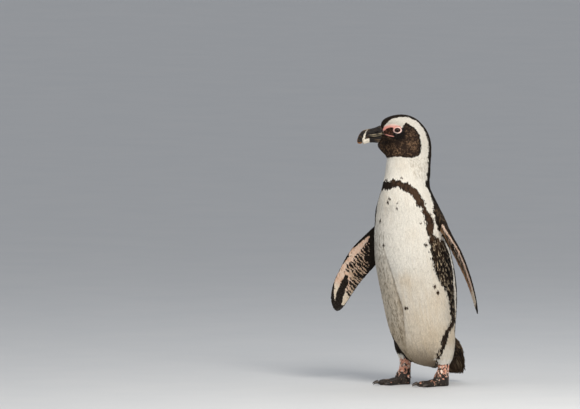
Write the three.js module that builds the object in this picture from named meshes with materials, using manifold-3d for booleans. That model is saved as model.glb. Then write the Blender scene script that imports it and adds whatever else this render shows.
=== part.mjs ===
// African penguin, standing life size with its head turned to its right, as a closed solid for each named part.
// Millimetres. +Z is up, the bird's chest faces -Y and its left side is +X. The floor is z = 0.
import * as THREE from "three";
import { mergeVertices } from "three/addons/utils/BufferGeometryUtils.js";
import Module from "manifold-3d";

const wasm = await Module();
wasm.setup();

// ---- Driving dimensions ----
const GAP = 0.3; // clearance between two parts that touch
const HEAD_TURN = 51; // degrees to the bird's right, measured from the chest
const EYE_HEIGHT = 565.5;
const EYE_RADIUS = 8.5;
const EYE_OFFSET = 24.6; // eyeball centre from the head's middle plane
const EYE_AHEAD = 17; // eyeball centre ahead of the neck's axis
const HEAD_CUT = 503; // height of the cut between head and neck
const NECK_CUT = 424; // height of the cut between neck and trunk
const NECK_AXIS = new THREE.Vector2(-8, -55); // where the neck stands over the floor
const FLIPPER_LENGTH = 244; // from the shoulder joint to the tip
const SHOULDER = new THREE.Vector3(68, -34, 362); // the left joint; the right one is its mirror image
const HIP_SPREAD = 48; // each ankle from the middle plane
const STRIDE = 8; // the left ankle is this far behind the middle, the right one this far ahead
const FOOT_TURN = 20; // degrees that both feet point to the bird's right
const ANKLE_HEIGHT = 27; // top of the foot
const CUFF_HEIGHT = { left: 52, right: 60 }; // where the feathers end on each leg

const SIDES = { body: 30, flipper: 14, limb: 14, digit: 8, bill: 12, claw: 6, tail: 16 };
const COLOURS = {
  white: 0xe9e3d6,
  dark: 0x2b2623,
  mask: 0x3a3029,
  foot: 0x6b4a42,
  bill: 0x26221f,
  claw: 0x1b1816,
  eye: 0x1a0e08,
};

// ---- Solids ----
const rad = THREE.MathUtils.degToRad;

// A closed column of rows from one end to the other. point(t, angle) gives the skin at share t of its length,
// and middle(t) the point that closes each end. Facing is corrected from the sign of the volume.
function column(rows, sides, point, middle) {
  const profile = [new THREE.Vector2(0, 0)];
  for (let i = 0; i <= rows; i++) profile.push(new THREE.Vector2(1, i / rows));
  profile.push(new THREE.Vector2(0, 1));
  const lathe = new THREE.LatheGeometry(profile, sides);
  const place = lathe.getAttribute("position");
  for (let i = 0; i < place.count; i++) {
    const radius = Math.hypot(place.getX(i), place.getZ(i));
    const angle = Math.atan2(place.getX(i), place.getZ(i));
    const p = radius < 0.5 ? middle(place.getY(i)) : point(place.getY(i), angle);
    place.setXYZ(i, p.x, p.y, p.z);
  }
  return lathe;
}

// A geometry as a manifold-3d solid with its faces pointing out.
function solid(geometry) {
  const bare = geometry.clone();
  bare.deleteAttribute("normal");
  bare.deleteAttribute("uv");
  const merged = mergeVertices(bare, 1e-3);
  const vertProperties = merged.attributes.position.array;
  const triVerts = new Uint32Array(merged.index.array);
  const built = new wasm.Manifold(new wasm.Mesh({ numProp: 3, vertProperties, triVerts }));
  if (built.volume() > 0) return built;
  for (let i = 0; i < triVerts.length; i += 3) {
    [triVerts[i + 1], triVerts[i + 2]] = [triVerts[i + 2], triVerts[i + 1]];
  }
  return new wasm.Manifold(new wasm.Mesh({ numProp: 3, vertProperties, triVerts }));
}

// A manifold-3d solid as a named mesh.
function mesh(name, made, colour, roughness) {
  const data = made.getMesh();
  const geometry = new THREE.BufferGeometry();
  geometry.setAttribute("position", new THREE.BufferAttribute(data.vertProperties, 3));
  geometry.setIndex(new THREE.BufferAttribute(data.triVerts, 1));
  geometry.computeVertexNormals();
  const part = new THREE.Mesh(
    geometry,
    new THREE.MeshStandardMaterial({ color: colour, roughness, metalness: 0 }),
  );
  part.name = name;
  return part;
}

// A smooth curve through rows of three numbers, read by share of its length in rows.
function curve(rows) {
  const points = rows.map((r) => new THREE.Vector3(...r));
  return new THREE.CatmullRomCurve3(points, false, "catmullrom", 0.5);
}

// ---- Trunk, neck and head ----
// Level sections from the vent to the crown: [height, across, along, half width, front, back, turn, taper, ahead].
// across and along place the section's axis, front and back are its depth either side of that axis, turn is the
// share of the head's turn, taper narrows its front half, and ahead moves it forward along its own heading.
const [NX, NY] = NECK_AXIS.toArray();
const SECTIONS = [
  [39, 0, 33, 8, 8, 8, 0, 0, 0], // vent
  [43.5, 0, 27, 24, 31, 21, 0, 0, 0],
  [57, 0, 15, 42, 50, 37, 0, 0, 0],
  [80, 0, 5, 58, 59, 54, 0, 0, 0], // between the thighs
  [110, -1, -2, 73, 66, 65, 0, 0, 0],
  [145, -1.5, -8, 80, 72, 73, 0, 0, 0], // lower belly
  [190, -2.5, -13, 85.5, 79, 80.5, 0, 0, 0],
  [235, -3.5, -20.5, 89, 82.5, 83.5, 0, 0, 0], // belly
  [280, -4.5, -31, 88.5, 81, 83, 0, 0, 0],
  [320, -6, -38, 84.5, 76, 79, 0, 0, 0], // breast
  [355, -7, -45, 79, 68, 81, 0, 0, 0], // shoulders
  [388, -7.6, -52, 72.5, 60, 82, 0, 0, 0],
  [415, NX, NY - 1, 60, 57, 72.5, 0.06, 0, 0], // foot of the neck
  [440, NX, NY - 1, 49, 52.5, 58.5, 0.28, 0, 0],
  [466, NX, NY, 43, 46, 57, 0.6, 0, 0],
  [490, NX, NY, 40, 43, 56.5, 0.85, 0, 0], // neck
  [506, NX, NY, 38.8, 42.5, 57.5, 0.95, 0.05, 0], // throat
  [519, NX, NY, 38, 54.5, 57.5, 1, 0.2, 0],
  [531, NX, NY, 37.5, 62, 57.5, 1, 0.35, 0], // chin
  [545, NX, NY, 36.8, 57, 55, 1, 0.4, 0], // cheek
  [558, NX, NY, 35.2, 55, 50.5, 1, 0.4, 0],
  [570, NX, NY, 33, 55, 43.5, 1, 0.36, 0], // brow
  [580.5, NX, NY, 29.5, 53.5, 34.5, 1, 0.28, 0],
  [589.5, NX, NY, 23, 39.5, 31, 1, 0.15, 7],
  [596.3, NX, NY, 13, 21, 19, 1, 0, 9],
  [599, NX, NY, 4, 6, 6, 1, 0, 9], // crown
];
const AXIS = curve(SECTIONS.map((s) => [s[1], s[2], s[0]]));
const SIZE = curve(SECTIONS.map((s) => [s[3], s[4], s[5]]));
const TURN = curve(SECTIONS.map((s) => [s[6], s[7], s[8]]));

// The share of the sections' curve at a height, by halving: height rises along the whole curve.
function shareAt(height) {
  let [low, high] = [0, 1];
  for (let i = 0; i < 40; i++) {
    const middle = (low + high) / 2;
    if (AXIS.getPoint(middle).z < height) low = middle;
    else high = middle;
  }
  return (low + high) / 2;
}

// Forward and sideways directions of a heading turned to the bird's right.
function heading(degrees) {
  const a = rad(degrees);
  return {
    forward: new THREE.Vector3(-Math.sin(a), -Math.cos(a), 0),
    side: new THREE.Vector3(Math.cos(a), -Math.sin(a), 0),
  };
}

// A point of the body: angle 0 is the front, and grow moves it outwards.
function bodyPoint(share, angle, grow = 0) {
  const size = SIZE.getPoint(share);
  const turn = TURN.getPoint(share);
  const { forward, side } = heading(HEAD_TURN * turn.x);
  const [c, s] = [Math.cos(angle), Math.sin(angle)];
  const depth = (c > 0 ? size.y : size.z) + grow;
  const width = (size.x + grow) * (1 - turn.y * Math.max(0, c) ** 2);
  return AXIS.getPoint(share)
    .addScaledVector(forward, turn.z + depth * c)
    .addScaledVector(side, width * s);
}

// The body between two heights, closed flat at both, or by its own end at the vent and crown.
function bodyPart(from, to, rows, sides, grow = 0) {
  const start = from === null ? 0 : shareAt(from);
  const end = to === null ? 1 : shareAt(to);
  const share = (t) => start + (end - start) * t;
  const middle = (t) => {
    const turn = TURN.getPoint(share(t));
    return AXIS.getPoint(share(t)).addScaledVector(heading(HEAD_TURN * turn.x).forward, turn.z);
  };
  return solid(column(rows, sides, (t, a) => bodyPoint(share(t), a, grow), middle));
}

// A point of the head from the eyes' level: ahead along the bill, up, and to the bird's left.
function headPoint(ahead, up, left = 0) {
  const { forward, side } = heading(HEAD_TURN);
  return new THREE.Vector3(NX, NY, EYE_HEIGHT + up)
    .addScaledVector(forward, EYE_AHEAD + ahead)
    .addScaledVector(side, left);
}

function eyeball(side, grow = 0) {
  const centre = headPoint(0, 0, side * EYE_OFFSET);
  const ball = new THREE.SphereGeometry(EYE_RADIUS + grow, 14, 9);
  return solid(ball.translate(...centre.toArray()));
}

// ---- Bill ----
// Sections of a mandible: [top ahead, top up, bottom ahead, bottom up, half width], from inside the face to the tip.
const UPPER_MANDIBLE = [
  [30, 11.5, 30, -11, 12.5],
  [39, 9, 39, -13, 11.5], // edge of the feathers
  [48, 4.8, 48, -15.2, 10.3],
  [60, 1.5, 60, -17.4, 9],
  [71, -0.4, 69.5, -19.4, 7.6],
  [78, -3.4, 74.4, -20.6, 6.5],
  [83.2, -8.5, 77, -23.6, 5.4], // hook
  [86.8, -15, 77.8, -27.6, 4.2],
  [88.5, -21.5, 79.4, -30, 2.8],
  [88.7, -27, 84, -30.5, 1.4],
  [87.2, -29.7, 86.2, -30, 0.6],
];
const LOWER_MANDIBLE = [
  [30, -11.8, 30, -31.5, 11.6],
  [40, -14.1, 40, -30, 10.4],
  [51, -16.6, 51, -28.8, 9],
  [61, -18.5, 61, -28.8, 7.6],
  [69, -20.2, 69, -31, 6.2], // gonys
  [73, -21.2, 73, -31.6, 5],
  [75.4, -23.2, 75.4, -31.2, 3.4],
  [76.3, -25.6, 76.3, -29.6, 1.6], // behind the hook
];

// A mandible: domed on the side of its ridge and nearly flat on its biting side. ridge is 1 above, -1 below.
function mandible(sections, ridge, rows) {
  const tops = curve(sections.map((s) => [s[0], s[1], s[4]]));
  const bottoms = curve(sections.map((s) => [s[2], s[3], 0]));
  const at = (t, across, rise) => {
    const [top, bottom] = [tops.getPoint(t), bottoms.getPoint(t)];
    const share = 0.5 + 0.5 * rise;
    const ahead = bottom.x + (top.x - bottom.x) * share;
    const up = bottom.y + (top.y - bottom.y) * share;
    return headPoint(ahead, up, top.z * across);
  };
  const point = (t, angle) => {
    const [c, s] = [Math.cos(angle), Math.sin(angle)];
    const domed = c * ridge > 0;
    const rise = domed ? ridge * (-0.7 + 1.7 * Math.abs(c)) : -ridge * (0.7 + 0.3 * Math.abs(c) ** 0.5);
    return at(t, Math.sign(s) * Math.abs(s) ** (domed ? 0.8 : 0.6), rise);
  };
  return solid(column(rows, SIDES.bill, point, (t) => at(t, 0, -0.2 * ridge)));
}

// ---- Flippers ----
// [distance from the shoulder, leading edge, trailing edge, thickness, rise] across the flipper's own axis. rise is
// the share of the shoulder's roundness that lifts the section outwards.
const FLIPPER_SECTIONS = [
  [-58, 7, -9, 11, 0.5], // where the shoulder's feathers run into the neck
  [-30, 13, -13, 21, 0.8],
  [0, 17, -15, 22, 1],
  [30, 24, -21, 19, 0.25],
  [58, 31, -25, 15],
  [84, 38, -26.5, 12.5], // elbow
  [110, 42, -24.5, 11],
  [135, 42, -20, 9.8], // wrist
  [160, 40, -16, 8.6],
  [184, 38, -14.5, 7.4],
  [204, 33, -14, 6.2],
  [219, 27, -13.5, 5],
  [231, 19, -12, 4],
  [239, 10.5, -9, 2.8],
  [FLIPPER_LENGTH, 2, -5, 1.6], // tip
];
// Each flipper's place: its shoulder joint from the common one, its axis down from there, the way its leading edge
// faces, how far its middle bows outwards, how round its shoulder is, and its share of the full length.
const FLIPPER_POSE = {
  left: { from: [4, 0, 2], axis: [0.556, -0.11, -0.826], leading: [0.6, -0.62, 0.5], bow: 9, round: 5, reach: 0.968 },
  right: { from: [0, 0, 0], axis: [-0.525, -0.15, -0.838], leading: [-0.69, -0.52, 0.5], bow: 5, round: 2, reach: 1 },
};

function flipper(name) {
  const mirror = name === "left" ? 1 : -1;
  const root = new THREE.Vector3(SHOULDER.x * mirror, SHOULDER.y, SHOULDER.z).add(
    new THREE.Vector3(...FLIPPER_POSE[name].from),
  );
  const axis = new THREE.Vector3(...FLIPPER_POSE[name].axis).normalize();
  const leading = new THREE.Vector3(...FLIPPER_POSE[name].leading);
  leading.addScaledVector(axis, -leading.dot(axis)).normalize();
  const outer = new THREE.Vector3().crossVectors(leading, axis).multiplyScalar(mirror);
  const along = curve(FLIPPER_SECTIONS.map((s) => [s[0], s[1], s[2]]));
  const thick = curve(FLIPPER_SECTIONS.map((s) => [s[3], s[4] ?? 0, 0]));
  const at = (t, across, out) => {
    const row = along.getPoint(t);
    const rise = FLIPPER_POSE[name].round * thick.getPoint(t).y;
    const bow = FLIPPER_POSE[name].bow * Math.sin((Math.PI * Math.max(0, row.x)) / FLIPPER_LENGTH) + rise;
    return root
      .clone()
      .addScaledVector(axis, row.x * FLIPPER_POSE[name].reach)
      .addScaledVector(leading, (row.y + row.z) / 2 + across * (row.y - row.z) * 0.5)
      .addScaledVector(outer, bow + out);
  };
  const point = (t, angle) => {
    const [c, s] = [Math.cos(angle), Math.sin(angle)];
    const half = thick.getPoint(t).x / 2;
    return at(t, c, half * s * (0.72 + 0.28 * c));
  };
  return solid(column(20, SIDES.flipper, point, (t) => at(t, 0, 0)));
}

// ---- Legs and feet ----
const LEG = {
  left: { mirror: 1, ankle: new THREE.Vector3(HIP_SPREAD, STRIDE, 0) },
  right: { mirror: -1, ankle: new THREE.Vector3(-HIP_SPREAD, -STRIDE, 0) },
};

// A limb of oval sections: rows are [x, y, z, half width, half depth], turned to the foot's heading.
function limb(rows, turn, count) {
  const path = curve(rows.map((r) => [r[0], r[1], r[2]]));
  const size = curve(rows.map((r) => [r[3], r[4], 0]));
  const { forward, side } = heading(turn);
  const point = (t, angle) =>
    path
      .getPoint(t)
      .addScaledVector(side, size.getPoint(t).x * Math.sin(angle))
      .addScaledVector(forward, size.getPoint(t).y * Math.cos(angle));
  return solid(column(count, SIDES.limb, point, (t) => path.getPoint(t)));
}

// The feathered thigh, from inside the body to its cuff.
function thigh(name) {
  const { ankle, mirror } = LEG[name];
  const cuff = CUFF_HEIGHT[name];
  return limb(
    [
      [mirror * 40, -6, 128, 36, 46],
      [mirror * 43, 0, 104, 31, 40],
      [mirror * 47, ankle.y * 0.6 + 2, 82, 24, 30],
      [mirror * 49.5, ankle.y + 2, cuff + 12, 18.5, 21],
      [ankle.x, ankle.y + 2, cuff, 15.6, 16.4],
    ],
    FOOT_TURN * 0.5,
    8,
  );
}

// The bare shank between cuff and foot.
function shank(name) {
  const { ankle } = LEG[name];
  const { forward } = heading(FOOT_TURN);
  const row = (ahead, height, width, depth) => {
    const p = ankle.clone().addScaledVector(forward, ahead);
    return [p.x, p.y, height, width, depth];
  };
  return limb(
    [
      row(-1.5, CUFF_HEIGHT[name] - GAP, 13, 13.4),
      row(-1, 42, 12.6, 12.8),
      row(0.5, 33, 12.8, 13.6),
      row(3, ANKLE_HEIGHT + GAP, 13.8, 16.2),
    ],
    FOOT_TURN,
    5,
  );
}

// Toes: [way from the foot's heading in degrees, reach from the ankle, thickness at root, thickness at tip].
const TOES = {
  inner: { way: -21, reach: 57, root: 8, tip: 5.2 },
  middle: { way: 1, reach: 68, root: 8.8, tip: 5.6 },
  outer: { way: 22, reach: 60, root: 8, tip: 5.2 },
};
const HALLUX = { way: -85, start: 8, reach: 24, root: 4.8, tip: 3.4, low: 16, high: 21 };
const WEB_THICKNESS = 4;
const CLAW_LENGTH = 14;

// Unit vector of a toe of a foot; the way is mirrored on the right foot so that inner toes face each other.
function toeWay(name, way) {
  return heading(FOOT_TURN - LEG[name].mirror * way).forward;
}

function toePath(name, toe) {
  const { ankle } = LEG[name];
  const way = toeWay(name, toe.way);
  const point = (share, height) => ankle.clone().addScaledVector(way, toe.reach * share).setZ(height);
  return curve([
    point(0.08, 12).toArray(),
    point(0.35, 9.5).toArray(),
    point(0.62, 6.6).toArray(),
    point(0.84, 6.2).toArray(),
    point(1, 4.4).toArray(),
  ]);
}

// A round tapering tube with its knuckles swollen, laid along a path.
function digit(path, root, tip, knuckles) {
  const radius = (t) => (root + (tip - root) * t) * (1 + 0.07 * Math.cos(2 * Math.PI * knuckles * t));
  const frame = (t) => {
    const along = path.getTangent(t);
    const side = new THREE.Vector3(0, 0, 1).cross(along).normalize();
    return { side, up: new THREE.Vector3().crossVectors(along, side) };
  };
  const point = (t, angle) => {
    const { side, up } = frame(t);
    const end = Math.sqrt(Math.max(0.12, 1 - Math.max(0, (t - 0.86) / 0.15) ** 2));
    return path
      .getPoint(t)
      .addScaledVector(side, radius(t) * end * Math.sin(angle))
      .addScaledVector(up, radius(t) * end * Math.cos(angle) * 0.9);
  };
  return solid(column(7, SIDES.digit, point, (t) => path.getPoint(t)));
}

// The web, a thin plate between the toes whose front edge dips between them.
function web(name) {
  const { ankle } = LEG[name];
  const outline = new THREE.Shape();
  const at = (way, reach) => {
    const p = ankle.clone().addScaledVector(toeWay(name, way), reach);
    return [p.x, p.y];
  };
  const { inner, middle, outer } = TOES;
  const [first, second] = [(inner.way + middle.way) / 2, (outer.way + middle.way) / 2];
  outline.moveTo(...at(180, 6));
  outline.lineTo(...at(inner.way - 6, inner.reach * 0.55));
  outline.lineTo(...at(inner.way, inner.reach * 0.92));
  outline.quadraticCurveTo(...at(first, inner.reach * 0.9), ...at(middle.way, middle.reach * 0.92));
  outline.quadraticCurveTo(...at(second, outer.reach * 0.9), ...at(outer.way, outer.reach * 0.92));
  outline.lineTo(...at(outer.way + 6, outer.reach * 0.55));
  const plate = new THREE.ExtrudeGeometry(outline, {
    depth: WEB_THICKNESS,
    bevelEnabled: false,
    curveSegments: 4,
  });
  return solid(plate);
}

// The heel and the arch of the foot, under the shank.
function instep(name) {
  const { ankle } = LEG[name];
  const { forward } = heading(FOOT_TURN);
  const row = (ahead, height, width, depth) => {
    const p = ankle.clone().addScaledVector(forward, ahead);
    return [p.x, p.y, height, width, depth];
  };
  return limb(
    [row(3, ANKLE_HEIGHT, 13.8, 16.2), row(6, 14, 14.8, 19), row(7, 6, 15, 20), row(7, -2, 13.5, 19)],
    FOOT_TURN,
    4,
  );
}

function halluxPath(name) {
  const { ankle } = LEG[name];
  const way = toeWay(name, HALLUX.way);
  const point = (reach, height) => ankle.clone().addScaledVector(way, reach).setZ(height);
  const half = (HALLUX.start + HALLUX.reach) / 2;
  return curve([
    point(HALLUX.start, HALLUX.high).toArray(),
    point(half, (HALLUX.high + HALLUX.low) / 2 + 1.5).toArray(),
    point(HALLUX.reach, HALLUX.low).toArray(),
  ]);
}

// Everything above the floor, as one big block.
const aboveFloor = solid(new THREE.BoxGeometry(900, 900, 900).translate(0, 0, 450));

// A claw that leaves its toe's end and curves down to just above the floor.
function claw(name, path, size, drop) {
  const start = path.getPoint(0.9);
  const way = path.getTangent(1).setZ(0).normalize();
  const bend = (t) =>
    start
      .clone()
      .addScaledVector(way, size * (0.25 + 1.02 * Math.sin(t * 1.15)))
      .setZ(start.z + 1.6 - drop * t * t);
  const side = new THREE.Vector3(-way.y, way.x, 0);
  const width = (t) => size * 0.2 * (1 - t) ** 0.7 + 0.35;
  const point = (t, angle) =>
    bend(t)
      .addScaledVector(side, width(t) * Math.sin(angle))
      .add(new THREE.Vector3(0, 0, width(t) * 1.15 * Math.cos(angle)));
  return solid(column(5, SIDES.claw, point, bend)).intersect(aboveFloor);
}

// ---- Tail ----
// [y, z, half width, half thickness], a stiff fan that bends down from inside the rump and narrows to a blunt edge.
const TAIL_SECTIONS = [
  [40, 118, 26, 20],
  [62, 104, 30, 17],
  [83, 87, 31, 13],
  [97.5, 66, 29, 9.5],
  [106, 45, 25, 6.5],
  [110, 29, 17, 4],
  [112, 20, 8, 1.8], // tip
];

function tail() {
  const path = curve(TAIL_SECTIONS.map((s) => [0, s[0], s[1]]));
  const size = curve(TAIL_SECTIONS.map((s) => [s[2], s[3], 0]));
  const middle = (t) => path.getPoint(t);
  const point = (t, angle) => {
    const thickWay = new THREE.Vector3(1, 0, 0).cross(path.getTangent(t));
    return middle(t)
      .add(new THREE.Vector3(size.getPoint(t).x * Math.sin(angle), 0, 0))
      .addScaledVector(thickWay, size.getPoint(t).y * Math.cos(angle));
  };
  return solid(column(8, SIDES.tail, point, middle));
}

// ---- The bird ----
const bird = new THREE.Group();
const head = bodyPart(HEAD_CUT + GAP / 2, null, 19, SIDES.body);
const grownHead = bodyPart(HEAD_CUT, null, 19, SIDES.body, GAP);
const grownTrunk = bodyPart(null, NECK_CUT, 22, SIDES.body, GAP);
const trunk = bodyPart(null, NECK_CUT - GAP / 2, 22, SIDES.body);
const neck = bodyPart(NECK_CUT + GAP / 2, HEAD_CUT - GAP / 2, 6, SIDES.body);

const sockets = eyeball(1, GAP).add(eyeball(-1, GAP));
bird.add(mesh("head", head.subtract(sockets), COLOURS.mask, 0.8));
bird.add(mesh("neck", neck, COLOURS.white, 0.85));
bird.add(mesh("trunk", trunk, COLOURS.white, 0.85));
bird.add(mesh("eye_left", eyeball(1), COLOURS.eye, 0.15));
bird.add(mesh("eye_right", eyeball(-1), COLOURS.eye, 0.15));
bird.add(mesh("bill_upper", mandible(UPPER_MANDIBLE, 1, 14).subtract(grownHead), COLOURS.bill, 0.4));
bird.add(mesh("bill_lower", mandible(LOWER_MANDIBLE, -1, 9).subtract(grownHead), COLOURS.bill, 0.4));
bird.add(mesh("tail", tail().subtract(grownTrunk), COLOURS.dark, 0.8));

for (const name of ["left", "right"]) {
  bird.add(mesh(`flipper_${name}`, flipper(name).subtract(grownTrunk), COLOURS.dark, 0.7));
  bird.add(mesh(`thigh_${name}`, thigh(name).subtract(grownTrunk), COLOURS.white, 0.85));
  bird.add(mesh(`leg_${name}`, shank(name).subtract(grownTrunk), COLOURS.foot, 0.6));
  let foot = instep(name).add(web(name));
  let claws = [];
  for (const [digitName, toe] of Object.entries(TOES)) {
    const path = toePath(name, toe);
    foot = foot.add(digit(path, toe.root, toe.tip, 3));
    claws.push([`claw_${name}_${digitName}`, claw(name, path, CLAW_LENGTH, 5.2)]);
  }
  const hind = halluxPath(name);
  foot = foot.add(digit(hind, HALLUX.root, HALLUX.tip, 1));
  claws.push([`claw_${name}_hind`, claw(name, hind, CLAW_LENGTH * 0.62, 4)]);
  foot = foot.intersect(aboveFloor);
  for (const [clawName, shape] of claws) {
    const socket = shape.add(shape.translate([0, 0, GAP])).add(shape.translate([0, 0, -GAP]));
    foot = foot.subtract(socket);
    bird.add(mesh(clawName, shape, COLOURS.claw, 0.35));
  }
  bird.add(mesh(`foot_${name}`, foot, COLOURS.foot, 0.6));
}

// The floor under the middle of the bird's outline is the origin.
const outline = new THREE.Box3().setFromObject(bird);
bird.position.set(-(outline.min.x + outline.max.x) / 2, -(outline.min.y + outline.max.y) / 2, 0);

export default bird;
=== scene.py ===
"""African penguin: skin, feathers, scutes, bill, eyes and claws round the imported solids, and a stage."""

import math

import bmesh
import bpy
import numpy as np
from bpy.props import FloatProperty, FloatVectorProperty, IntProperty, PointerProperty
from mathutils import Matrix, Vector
from mathutils.bvhtree import BVHTree


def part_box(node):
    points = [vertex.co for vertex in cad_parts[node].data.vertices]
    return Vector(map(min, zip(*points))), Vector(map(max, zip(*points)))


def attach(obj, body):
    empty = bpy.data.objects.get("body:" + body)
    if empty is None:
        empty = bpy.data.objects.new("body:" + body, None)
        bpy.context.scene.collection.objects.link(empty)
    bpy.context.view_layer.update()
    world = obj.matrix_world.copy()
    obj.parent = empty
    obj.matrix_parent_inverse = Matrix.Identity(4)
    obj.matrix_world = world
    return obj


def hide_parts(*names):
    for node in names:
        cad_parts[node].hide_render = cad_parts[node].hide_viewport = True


bl_info = {
    "name": "African Penguin",
    "version": (1, 0, 0),
    "blender": (4, 5, 0),
    "location": "3D View > Sidebar > Penguin",
    "description": "Builds the looks of a standing African penguin round its solids",
    "category": "Add Mesh",
}

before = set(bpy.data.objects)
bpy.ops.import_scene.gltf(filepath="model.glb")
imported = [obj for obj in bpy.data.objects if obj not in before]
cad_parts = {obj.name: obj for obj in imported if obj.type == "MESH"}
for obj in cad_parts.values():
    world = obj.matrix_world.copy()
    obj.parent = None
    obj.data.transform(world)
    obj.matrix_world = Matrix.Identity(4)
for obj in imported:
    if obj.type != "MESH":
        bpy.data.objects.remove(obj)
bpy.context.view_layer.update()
MM = 0.001
SIDES = ("left", "right")
PAIRED = ("flipper", "thigh", "leg", "foot")
FLESH = ("head", "neck", "trunk", "tail") + tuple(f"{part}_{side}" for part in PAIRED for side in SIDES)
HEAD, NECK, TRUNK, TAIL = range(4)


def number(part, side="left"):
    """The number of a paired part in FLESH."""
    return FLESH.index(f"{part}_{side}")


def belongs(part, *names):
    """Whether vertices belong to one of these paired parts, on either side."""
    return np.isin(part, [number(name, side) for name in names for side in SIDES])


# ---- Vectors, noise and outlines ----


def unit(v):
    """Vectors at length 1."""
    v = np.asarray(v, float)
    return v / np.maximum(np.linalg.norm(v, axis=-1, keepdims=True), 1e-12)


def smoothstep(low, high, x):
    """0 below low, 1 above high, smooth between; low may be the larger one."""
    t = np.clip((np.asarray(x, float) - low) / (high - low), 0, 1)
    return t * t * (3 - 2 * t)


def window(x, rise, fall):
    """1 from the end of the rise to the start of the fall, each a pair of values of x, and 0 beyond them."""
    return smoothstep(*rise, x) * smoothstep(*fall, x)


def bell(x, width):
    """1 at 0, falling off by width to both sides."""
    return np.exp(-((x / width) ** 2))


def soft_patch(x, y, middle_x, middle_y, width, tall=None):
    """1 in the middle of an oval patch with a soft edge, falling off by its width and its height."""
    return bell(x - middle_x, width) * bell(y - middle_y, tall or width)


def interpolated(x, rows):
    """The second number of the rows at x, by straight lines between them."""
    rows = np.array(sorted(rows), float)
    return np.interp(x, rows[:, 0], rows[:, 1])


def noise(points, size, seed=0):
    """Smooth noise from -1 to 1 with bumps about size across. size is one number or one for each axis."""
    q = np.asarray(points, float) / size
    cell = np.floor(q).astype(np.int64)
    part = q - cell
    part = part * part * (3 - 2 * part)
    total = np.zeros(len(q))
    for corner in np.ndindex(2, 2, 2):
        at = cell + corner
        mixed = at[:, 0] * 73856093 ^ at[:, 1] * 19349663 ^ at[:, 2] * 83492791 ^ (seed + 11) * 2654435761
        mixed = (mixed ^ (mixed >> 13)) * 1274126177 & 0x7FFFFFFF
        mixed = (mixed ^ (mixed >> 11)) * 668265263 & 0x7FFFFFFF
        value = ((mixed >> 8) & 0xFFFF) / 32767.5 - 1
        total += value * np.prod(np.where(corner, part, 1 - part), axis=1)
    return total


def rounded(outline, steps=4, closed=True):
    """A smooth curve through the points of an outline."""
    pts = np.array(outline, float)
    if not closed:
        pts = np.vstack([2 * pts[0] - pts[1], pts, 2 * pts[-1] - pts[-2]])
    count = len(pts) if closed else len(pts) - 3
    out = []
    for i in range(count):
        a, b, c, d = (pts[(i + k - (1 if closed else 0)) % len(pts)] for k in range(4))
        for t in np.arange(steps) / steps:
            out.append(0.5 * (2 * b + (c - a) * t + (2 * a - 5 * b + 4 * c - d) * t**2
                              + (3 * b - a - 3 * c + d) * t**3))
    if not closed:
        out.append(pts[-2])
    return np.array(out)


def near_line(x, y, line, closed=False):
    """How far points are from a line of straight pieces, and how far along it the nearest spot is, 0 to 1."""
    best = np.full(len(x), 1e9)
    along = np.zeros(len(x))
    count = len(line) - (0 if closed else 1)
    for i in range(count):
        (x0, y0), (x1, y1) = line[i], line[(i + 1) % len(line)]
        dx, dy = x1 - x0, y1 - y0
        t = np.clip(((x - x0) * dx + (y - y0) * dy) / (dx * dx + dy * dy + 1e-12), 0, 1)
        far = np.hypot(x - x0 - t * dx, y - y0 - t * dy)
        closer = far < best
        best = np.where(closer, far, best)
        along = np.where(closer, (i + t) / count, along)
    return best, along


def depth_in(x, y, outline):
    """How deep points lie inside a closed outline; negative outside."""
    hit = np.zeros(len(x), bool)
    for (x0, y0), (x1, y1) in zip(outline, np.roll(outline, -1, 0)):
        crosses = (y0 > y) != (y1 > y)
        hit ^= crosses & (x < x0 + (y - y0) * (x1 - x0) / (y1 - y0 + 1e-12))
    far, _ = near_line(x, y, outline, closed=True)
    return np.where(hit, far, -far)


# ---- Places on the bird, from the frame. Lengths here are in millimetres. ----


def middle(node):
    """The middle of a solid's box, in metres."""
    low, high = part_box(node)
    return np.array((low + high) / 2)


EYE = {side: middle(f"eye_{side}") for side in SIDES}
EYE_RADIUS = (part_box("eye_left")[1].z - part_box("eye_left")[0].z) / 2
EYE_AHEAD = 17  # the eyes are this far ahead of the neck's axis
HEAD_MIDDLE = (EYE["left"] + EYE["right"]) / 2
LEFTWARDS = unit(EYE["left"] - EYE["right"])
FORWARDS = np.cross(LEFTWARDS, (0, 0, 1))
HEAD_TURN = math.atan2(-FORWARDS[0], -FORWARDS[1])
NECK_FOOT = HEAD_MIDDLE - FORWARDS * EYE_AHEAD * MM
# The body's axis beside the neck's: [height, across, along], and the share of the head's turn at each height.
AXIS_ACROSS = ((39, 8), (110, 7), (190, 5.5), (280, 3.5), (355, 1), (415, 0))
AXIS_ALONG = ((39, 88), (57, 70), (110, 53), (190, 42), (280, 24), (355, 10), (415, -1), (440, -1), (466, 0))
TURN = ((388, 0), (415, 0.06), (440, 0.28), (466, 0.6), (490, 0.85), (506, 0.95), (519, 1))


def body_place(p):
    """Height, degrees round the body from the chest towards its left side, and distance from its axis."""
    height = p[:, 2] / MM
    x = (p[:, 0] - NECK_FOOT[0]) / MM - interpolated(height, AXIS_ACROSS)
    y = (p[:, 1] - NECK_FOOT[1]) / MM - interpolated(height, AXIS_ALONG)
    turn = HEAD_TURN * interpolated(height, TURN)
    ahead = -np.sin(turn) * x - np.cos(turn) * y
    left = np.cos(turn) * x - np.sin(turn) * y
    return height, np.degrees(np.arctan2(left, ahead)), np.hypot(ahead, left)


def head_place(p):
    """Ahead, up and left of the middle between the eyes."""
    v = (p - HEAD_MIDDLE) / MM
    return v @ FORWARDS, v[:, 2], v @ LEFTWARDS


def head_point(ahead, up, left):
    """The point at a head place, in metres."""
    return HEAD_MIDDLE + MM * (ahead * FORWARDS + up * np.array((0, 0, 1.0)) + left * LEFTWARDS)


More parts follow.
